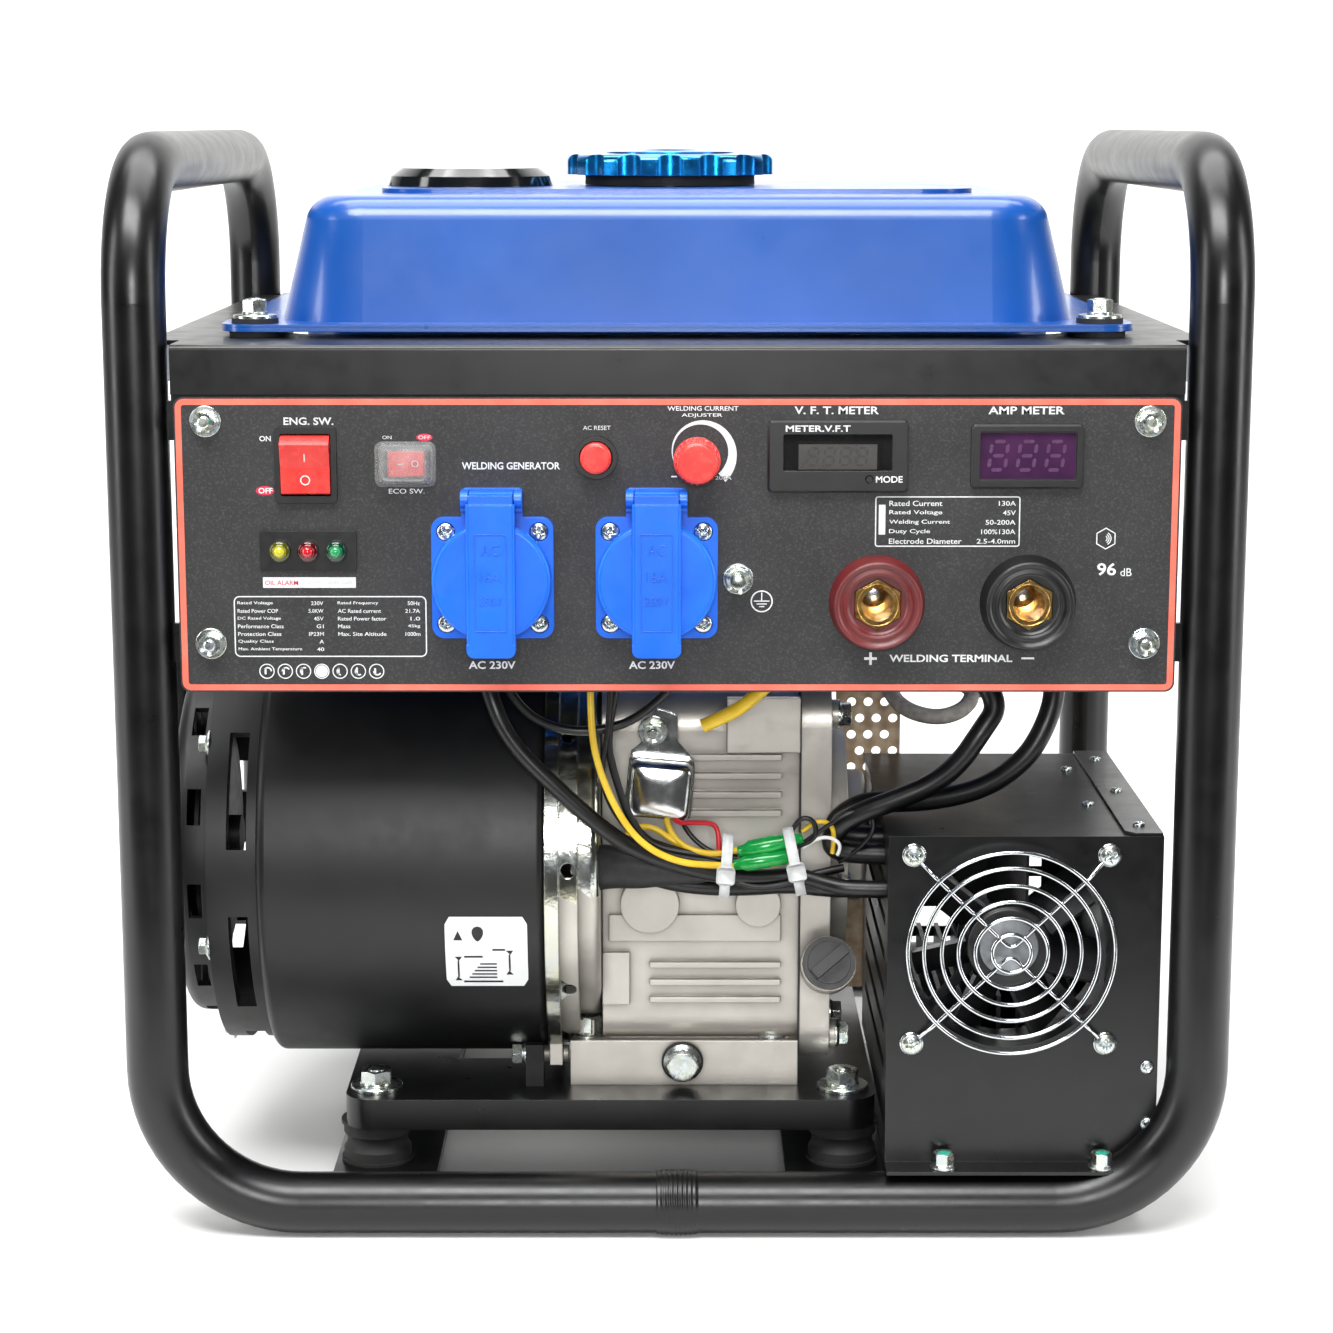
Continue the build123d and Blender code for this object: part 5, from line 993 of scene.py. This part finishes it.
# Glass fibre bandage: pale straw yarn about 1.2 mm apart, wound at a slant and singed in patches.
bandage, tree, shader, tone = finish("glass_fibre_bandage", ("#a98f73", "#c9b79c"), 6, (0.7, 0.9), 4, 0.8,
                                     0.1, 0.3,
                                     IOR=1.5)
place = add(tree, "ShaderNodeTexCoord")
turns = add(tree, "ShaderNodeTexWave", {"Scale": 100 / 2.4, "Distortion": 1.5, "Detail": 2.0},
            {"Vector": (place, "Object")})
wound = add(tree, "ShaderNodeBump", {"Strength": 0.8, "Distance": 0.0006}, {"Height": (turns, 0)})
tree.links.new(wound.outputs[0], shader.inputs["Normal"])
dress_where(bandage, "muffler", lambda x, y, z: y < 51.5 or x < 74.5)
exhaust_wrap = [(128, -20, 233), (128, -38, 222), (133, -52, 215), (142, -60, 216), (150, -62, 224),
                (152, -60, 240)]
strand("bandaged_lead", exhaust_wrap, 5.2, bandage)
strand("breather_hose", [(100, -40, 232), (94, -58, 220), (100, -72, 209), (116, -80, 205), (130, -74, 208),
                         (136, -58, 214), (134, -40, 226)], 3.6,
       finish("woven_grey_sleeve", ("#8f8b86", "#aba7a1"), 3, (0.6, 0.8), 2, 0.5, 0.08, 0.2, IOR=1.5)[0])
red_clip = turned([(3.9, 0), (4.6, 0.8), (4.6, 8), (3.9, 9), (0.1, 9)], 32)
piece("red_sleeve_end", *put(red_clip, (98, -52, 224), Matrix.Rotation(radians(60), 3, "X")), red_gloss)

# Three plated clips hold the air cleaner's cover.
clips = []
for x in (-160, -126, -92):
    strap = [(x - 6, 100, 288.6), (x + 6, 100, 288.6), (x + 6, 122, 291.6), (x - 6, 122, 291.6),
             (x - 6, 100, 290.0), (x + 6, 100, 290.0), (x + 6, 122, 293.0), (x - 6, 122, 293.0)]
    clips.append((strap, [(0, 1, 2, 3), (7, 6, 5, 4), (0, 4, 5, 1), (1, 5, 6, 2), (2, 6, 7, 3),
                          (3, 7, 4, 0)]))
crisp(piece("air_cleaner_clips", *joined(clips), zinc, smooth=False))

# ------------------------------------------------------------------ regulator and wiring
# The charging regulator is a plated steel can on a bracket in front of the crankcase. Leads come
# down from the panel, are tied in a bundle under it, and cross to the inverter case.

# Plated and wiped steel can: bright, with a soft dome in its face.
can_steel = finish("bright_tinned_steel", ("#d5d8d9", "#e3e4e3"), 12, (0.12, 0.24), 6, 3.0, 0.05, 1.2,
                   Metallic=1.0)[0]
dress(can_steel, "regulator")
lean = Matrix.Rotation(radians(5), 3, "Y")
can_points = []
can_rings = ((29.0, 27.0, 3.0, 0.0), (29.0, 27.0, 3.0, 2.0), (27.0, 25.0, 3.0, 2.2), (26.6, 24.6, 3.2, 11.0),
             (25.4, 23.4, 3.2, 12.6), (22.4, 20.4, 3.0, 13.4), (8, 7, 2.0, 13.9))
for width, height, corner, out in can_rings:
    for x, z in rounded(0, 0, width, height, corner):
        can_points.append(tuple(lean @ Vector((x, -out, z)) + Vector((-7.5, -121, 183.5))))
size = len(can_points) // len(can_rings)
can_faces = skin(len(can_rings), size) + [range(len(can_points) - size, len(can_points)),
                                          range(size - 1, -1, -1)]
can = crisp(piece("regulator_can", can_points, can_faces, can_steel, slot="zinc_plate"), 50)
plate_outline = [(-15, -12), (14, -12), (14, 14), (6, 22), (5, 34), (-4, 36), (-7, 30), (-8, 22), (-14, 16)]
plate = [tuple(lean @ Vector((x, y, z)) + Vector((-7.5, -120.5, 182))) for y in (0, 1.6) for x,
         z in plate_outline]
crisp(piece("regulator_bracket", plate, slab(len(plate_outline)), can_steel, slot="zinc_plate"))
crisp(piece("regulator_bolt", *put(washer_bolt(8, 4.2, 6.4), (-10.5, -120.6, 208), "-Y", 0.2), zinc,
            slot="zinc_plate"))
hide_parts("regulator")

# Black PVC sheath: soft satin, with a faint wave along it.
sheath = finish("black_pvc_sheath", ("#070708", "#0c0c0d"), 14, (0.32, 0.44), 7, 1.4, 0.02, 0.3, IOR=1.53)[0]
yellow_pvc, red_pvc, white_pvc = [
    finish(name + "_pvc", tones, 10, (0.3, 0.42), 5, 1.4, 0.02, 0.3, IOR=1.53)[0]
    for name, tones in (("yellow", ("#dcb31e", "#edc835")), ("red", ("#c01626", "#d22433")),
                        ("white", ("#d9d9d6", "#ededea")))]

plus_lead = strand("weld_lead_plus", [
    (81.8, -151.8, 274.6), (81.8, -140, 274), (98, -135, 258), (126, -135, 240), (138, -141, 224),
    (130, -145, 213),
    (121, -145, 199), (109, -144, 189), (93, -143, 182), (78, -141, 176), (70, -138, 170), (66, -135, 162),
    (71, -133, 156), (90, -133, 156)], 4.6, sheath)
minus_lead = strand("weld_lead_minus", [
    (143.8, -151.8, 274.6), (143.8, -140, 273), (152, -135, 258), (161, -134, 242), (162, -138, 227),
    (157, -142, 213), (149, -143, 200), (134, -141, 188), (116, -138, 182), (97, -133, 179), (84, -130, 179),
    (74, -127, 174), (68, -124, 167), (72, -121, 161), (90, -121, 161)], 4.6, sheath)
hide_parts("weld_cables")
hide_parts("weld_cables")
main_lead = strand("harness_black_cable", [
    (-84, -143, 246), (-79, -150, 226), (-70, -151, 208), (-50, -152, 188), (-27, -150, 167),
    (-11, -147, 158),
    (13, -144, 150), (34, -141, 147), (52, -138, 148), (66, -144, 145), (74, -147, 144), (90, -147, 144)],
    3.6, sheath)
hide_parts("wiring_harness")
strand("harness_loom", [(-33, -122, 150), (-16, -130, 146), (4, -131, 141), (28, -127, 139), (50, -124, 140),
                        (68, -124, 137.5), (90, -124, 137.5)], 3.6, sheath)
for name, radius, material, points in (
        ("lead_yellow_panel", 1.5, yellow_pvc,
         [(-37, -147, 240), (-37, -151, 222), (-35, -153, 203), (-27, -155, 182), (-16, -155, 166),
          (0, -153, 157),
          (19, -150, 155), (34, -148, 154), (46, -146, 156)]),
        ("lead_black_a", 1.3, sheath,
         [(-28, -143, 240), (-29, -141, 214), (-33, -141, 196), (-30, -142, 181), (-20, -142, 167),
          (-8, -143, 159),
          (12, -142, 155), (30, -141, 153)]),
        ("lead_black_b", 1.7, sheath,
         [(-24, -141, 240), (-31, -139, 211), (-27, -140, 192), (-20, -141, 172), (-11, -141, 162),
          (4, -141, 158),
          (26, -140, 156)]),
        ("lead_yellow_a", 1.4, yellow_pvc,
         [(-25, -133, 154), (-24, -134, 163), (-18, -136, 169), (-10, -137, 169), (-2, -138, 163),
          (6, -139, 159)]),
        ("lead_yellow_b", 1.4, yellow_pvc,
         [(-5, -131, 173), (-4, -136, 168), (1, -139, 162), (8, -141, 159), (18, -143, 158),
          (28, -144, 161)]),
        ("lead_red", 1.1, red_pvc,
         [(-2, -131, 173), (-1, -135, 170), (9, -137, 171), (16, -139, 171), (18, -141, 167),
          (18, -142, 160)]),
        ("lead_black_c", 1.1, sheath,
         [(1, -131, 173), (3, -137, 169), (8, -139, 163), (16, -141, 158), (26, -142, 155)]),
        ("lead_black_d", 1.1, sheath,
         [(-12, -136, 163), (-2, -139, 160), (8, -141, 158), (20, -143, 156), (30, -143, 155)]),
        ("lead_yellow_sleeve", 3.0, yellow_pvc, [(11, -139, 214), (20, -140, 218), (30, -141, 224),
                                                 (42, -143, 236)]),
        ("lead_black_arc", 2.0, sheath,
         [(-75, -143, 236), (-68, -142, 222), (-52, -138, 212), (-33, -137, 211), (-14, -138, 218),
          (0, -141, 234)]),
        ("lead_white_curl", 0.8, white_pvc,
         [(54, -143, 161), (60, -144, 166), (67, -144, 166), (71, -144, 162), (69, -143, 158)]),
        ("lead_yellow_curl", 1.1, yellow_pvc,
         [(54, -141, 168), (59, -142, 173), (66, -142, 172), (68, -141, 166), (67, -140, 158)]),
        ("lead_black_curl", 1.1, sheath,
         [(49, -143, 168), (52, -144, 175), (59, -144, 174), (60, -144, 166), (54, -143, 162),
          (46, -142, 160)]),
        ("lead_black_thin", 1.0, sheath,
         [(50, -142, 160), (62, -143, 169), (73, -144, 177), (82, -142, 178), (86, -140, 170),
          (80, -138, 160),
          (70, -136, 153)]),
        ("lead_black_low", 1.8, sheath,
         [(20, -143, 149), (30, -144, 144), (44, -143, 144), (58, -141, 149), (72, -138, 151)])):
    strand(name, points, radius, material)

# The braided sleeve over the engine leads, swelling where they gather behind the bundle.
sleeve_points = []
sleeve_steps = 28
sleeve_line = [(-44, -126, 147, 9.5), (-36, -129, 149, 10.5), (-27, -132, 150, 9.6), (-17, -135, 149, 8.0),
               (-6, -137, 149, 6.4), (6, -139, 149, 5.0), (18, -140, 150, 4.2)]
braid = finish("braided_polyester_sleeve", ("#0e0e0f", "#1a1a1b"), 3, (0.45, 0.6), 2, 0.7, 0.12, 0.2,
               IOR=1.55)[0]
for x, y, z, radius in sleeve_line:
    for j in range(sleeve_steps):
        turn = 2 * pi * j / sleeve_steps
        lump = 1 + 0.06 * sin(3 * turn + x * 0.3)
        sleeve_points.append((x, y + 0.7 * radius * lump * cos(turn), z + radius * lump * sin(turn)))
sleeve_faces = skin(len(sleeve_line), sleeve_steps)
sleeve_faces += [range(sleeve_steps), range(len(sleeve_points) - sleeve_steps, len(sleeve_points))]
sleeve = piece("harness_braided_sleeve", sleeve_points, sleeve_faces, braid)
smooth_sleeve = sleeve.modifiers.new("smooth", "SUBSURF")
smooth_sleeve.levels = 2
smooth_sleeve.render_levels = 2

# Bullet connectors under clear green sleeves.
green_sleeve = finish("clear_green_pvc", ("#12a345", "#1fbf58"), 4, (0.12, 0.22), 2, 1.2, 0.01, 0.3, IOR=1.53,
                      **{"Transmission Weight": 0.45})[0]
for name, first, last, radius in (("upper", (26, -146, 160), (54, -145, 166), 4.0),
                                  ("lower", (24, -149, 155), (51, -148, 159), 3.5)):
    line = Vector(last) - Vector(first)
    turn = line.to_track_quat("Z", "Y").to_matrix()
    reach = line.length
    bullet = turned([(1.6, 0), (radius * 0.62, 0.3), (radius * 0.72, 3.5), (radius, 5.5),
                     (radius, reach * 0.55),
                     (radius * 0.88, reach * 0.62), (radius * 0.92, reach - 5), (radius * 0.6, reach - 2.5),
                     (radius * 0.55, reach)], 36)
    piece("connector_sleeve_" + name, *put(bullet, first, turn), green_sleeve)

# White nylon ties: translucent straps with a ratchet head.
nylon = finish("natural_nylon", ("#c6c9c8", "#dcdedd"), 4, (0.3, 0.42), 3, 0.8, 0.01, 0.3, IOR=1.53,
               **{"Subsurface Weight": 0.3, "Subsurface Radius": (0.002, 0.002, 0.002)})[0]
tie_shapes = []
for x, y, z, wide, tall, lean_tie in ((21, -146, 156.5, 7.6, 10.5, 4), (50, -144, 158, 8.2, 11.5, -12)):
    strap = []
    for i in range(41):
        turn = 2 * pi * i / 40
        for side in (-2.3, 2.3):
            strap.append((side, wide * cos(turn), tall * sin(turn)))
    loop = (strap, ladder(40))
    head = rounded(0, 0, 6.4, 6.0, 1.0)
    block_points = [(a, -wide - 1.6 + d, b - tall * 0.45) for d in (-2.2, 2.0) for a, b in head]
    tail = ([(-2.2, -wide - 1, -tall * 0.5), (2.2, -wide - 1, -tall * 0.5), (2.2, -wide + 0.5, -tall - 4),
             (-2.2, -wide + 0.5, -tall - 4)], [(0, 1, 2, 3)])
    tie = joined([loop, (block_points, slab(len(head))), tail])
    turn = Matrix.Rotation(radians(lean_tie), 3, "Y")
    tie_shapes.append(([tuple(turn @ Vector(p) + Vector((x, y, z))) for p in tie[0]], tie[1]))
ties = piece("cable_ties", *joined(tie_shapes), nylon)
tie_gauge = ties.modifiers.new("thickness", "SOLIDIFY")
tie_gauge.thickness = 0.0011

# ------------------------------------------------------------------ floor and light
# A pale matt floor that rises far behind into a plain wall, and neutral white soft boxes: a key
# above the front, a weak fill in front, a narrow one at each side, one overhead, one on the wall.
pale = bpy.data.materials.new("pale_backdrop_paper")
pale.use_nodes = True
paper = pale.node_tree.nodes["Principled BSDF"]
paper.inputs["Base Color"].default_value = colour("#f4f4f3")
paper.inputs["Roughness"].default_value = 0.9
sweep_line = [(-0.5, 0), (1.2, 0), (1.55, 0.03), (1.85, 0.14), (2.05, 0.34), (2.12, 0.6), (2.14, 3.0)]
backdrop_mesh = bpy.data.meshes.new("backdrop")
backdrop_mesh.from_pydata([(x, y, z) for y, z in sweep_line for x in (-4, 4)], [],
                          ladder(len(sweep_line) - 1))
backdrop_mesh.materials.append(pale)
for face in backdrop_mesh.polygons:
    face.use_smooth = True
backdrop = bpy.data.objects.new("backdrop", backdrop_mesh)
bpy.context.scene.collection.objects.link(backdrop)


def soft_box(name, at, aim, width, height, power):
    """A rectangular soft light aimed at a point."""
    lamp = bpy.data.lights.new(name, "AREA")
    lamp.shape = "RECTANGLE"
    lamp.size = width
    lamp.size_y = height
    lamp.energy = power
    holder = bpy.data.objects.new(name, lamp)
    holder.location = at
    holder.rotation_euler = (Vector(aim) - Vector(at)).to_track_quat("-Z", "Y").to_euler()
    bpy.context.scene.collection.objects.link(holder)


soft_box("key", (-0.3, -1.2, 2.1), (0, -0.05, 0.22), 1.7, 0.8, 66)
soft_box("front_fill", (0, -2.3, 0.75), (0, 0, 0.25), 0.5, 0.5, 22)
soft_box("left_side", (-1.7, -0.6, 0.7), (0, 0, 0.25), 0.35, 1.3, 11)
soft_box("right_side", (1.7, -0.6, 0.7), (0, 0, 0.25), 0.35, 1.3, 13)
soft_box("overhead", (0, 0.1, 1.9), (0, 0, 0.3), 1.6, 0.9, 24)
soft_box("wall_wash", (0, 0.9, 2.4), (0, 2.0, 0.8), 3.0, 0.8, 45)
# The open studio is dark to the object and plain white to the camera.
world = bpy.data.worlds.new("studio")
world.use_nodes = True
sky = world.node_tree
seen = add(sky, "ShaderNodeLightPath")
level = add(sky, "ShaderNodeMapRange", {3: 0.05, 4: 1.0}, {0: (seen, "Is Camera Ray")})
sky.nodes["Background"].inputs["Color"].default_value = colour("#ffffff")
sky.links.new(level.outputs[0], sky.nodes["Background"].inputs["Strength"])
bpy.context.scene.world = world
bpy.context.scene.view_settings.view_transform = "Standard"
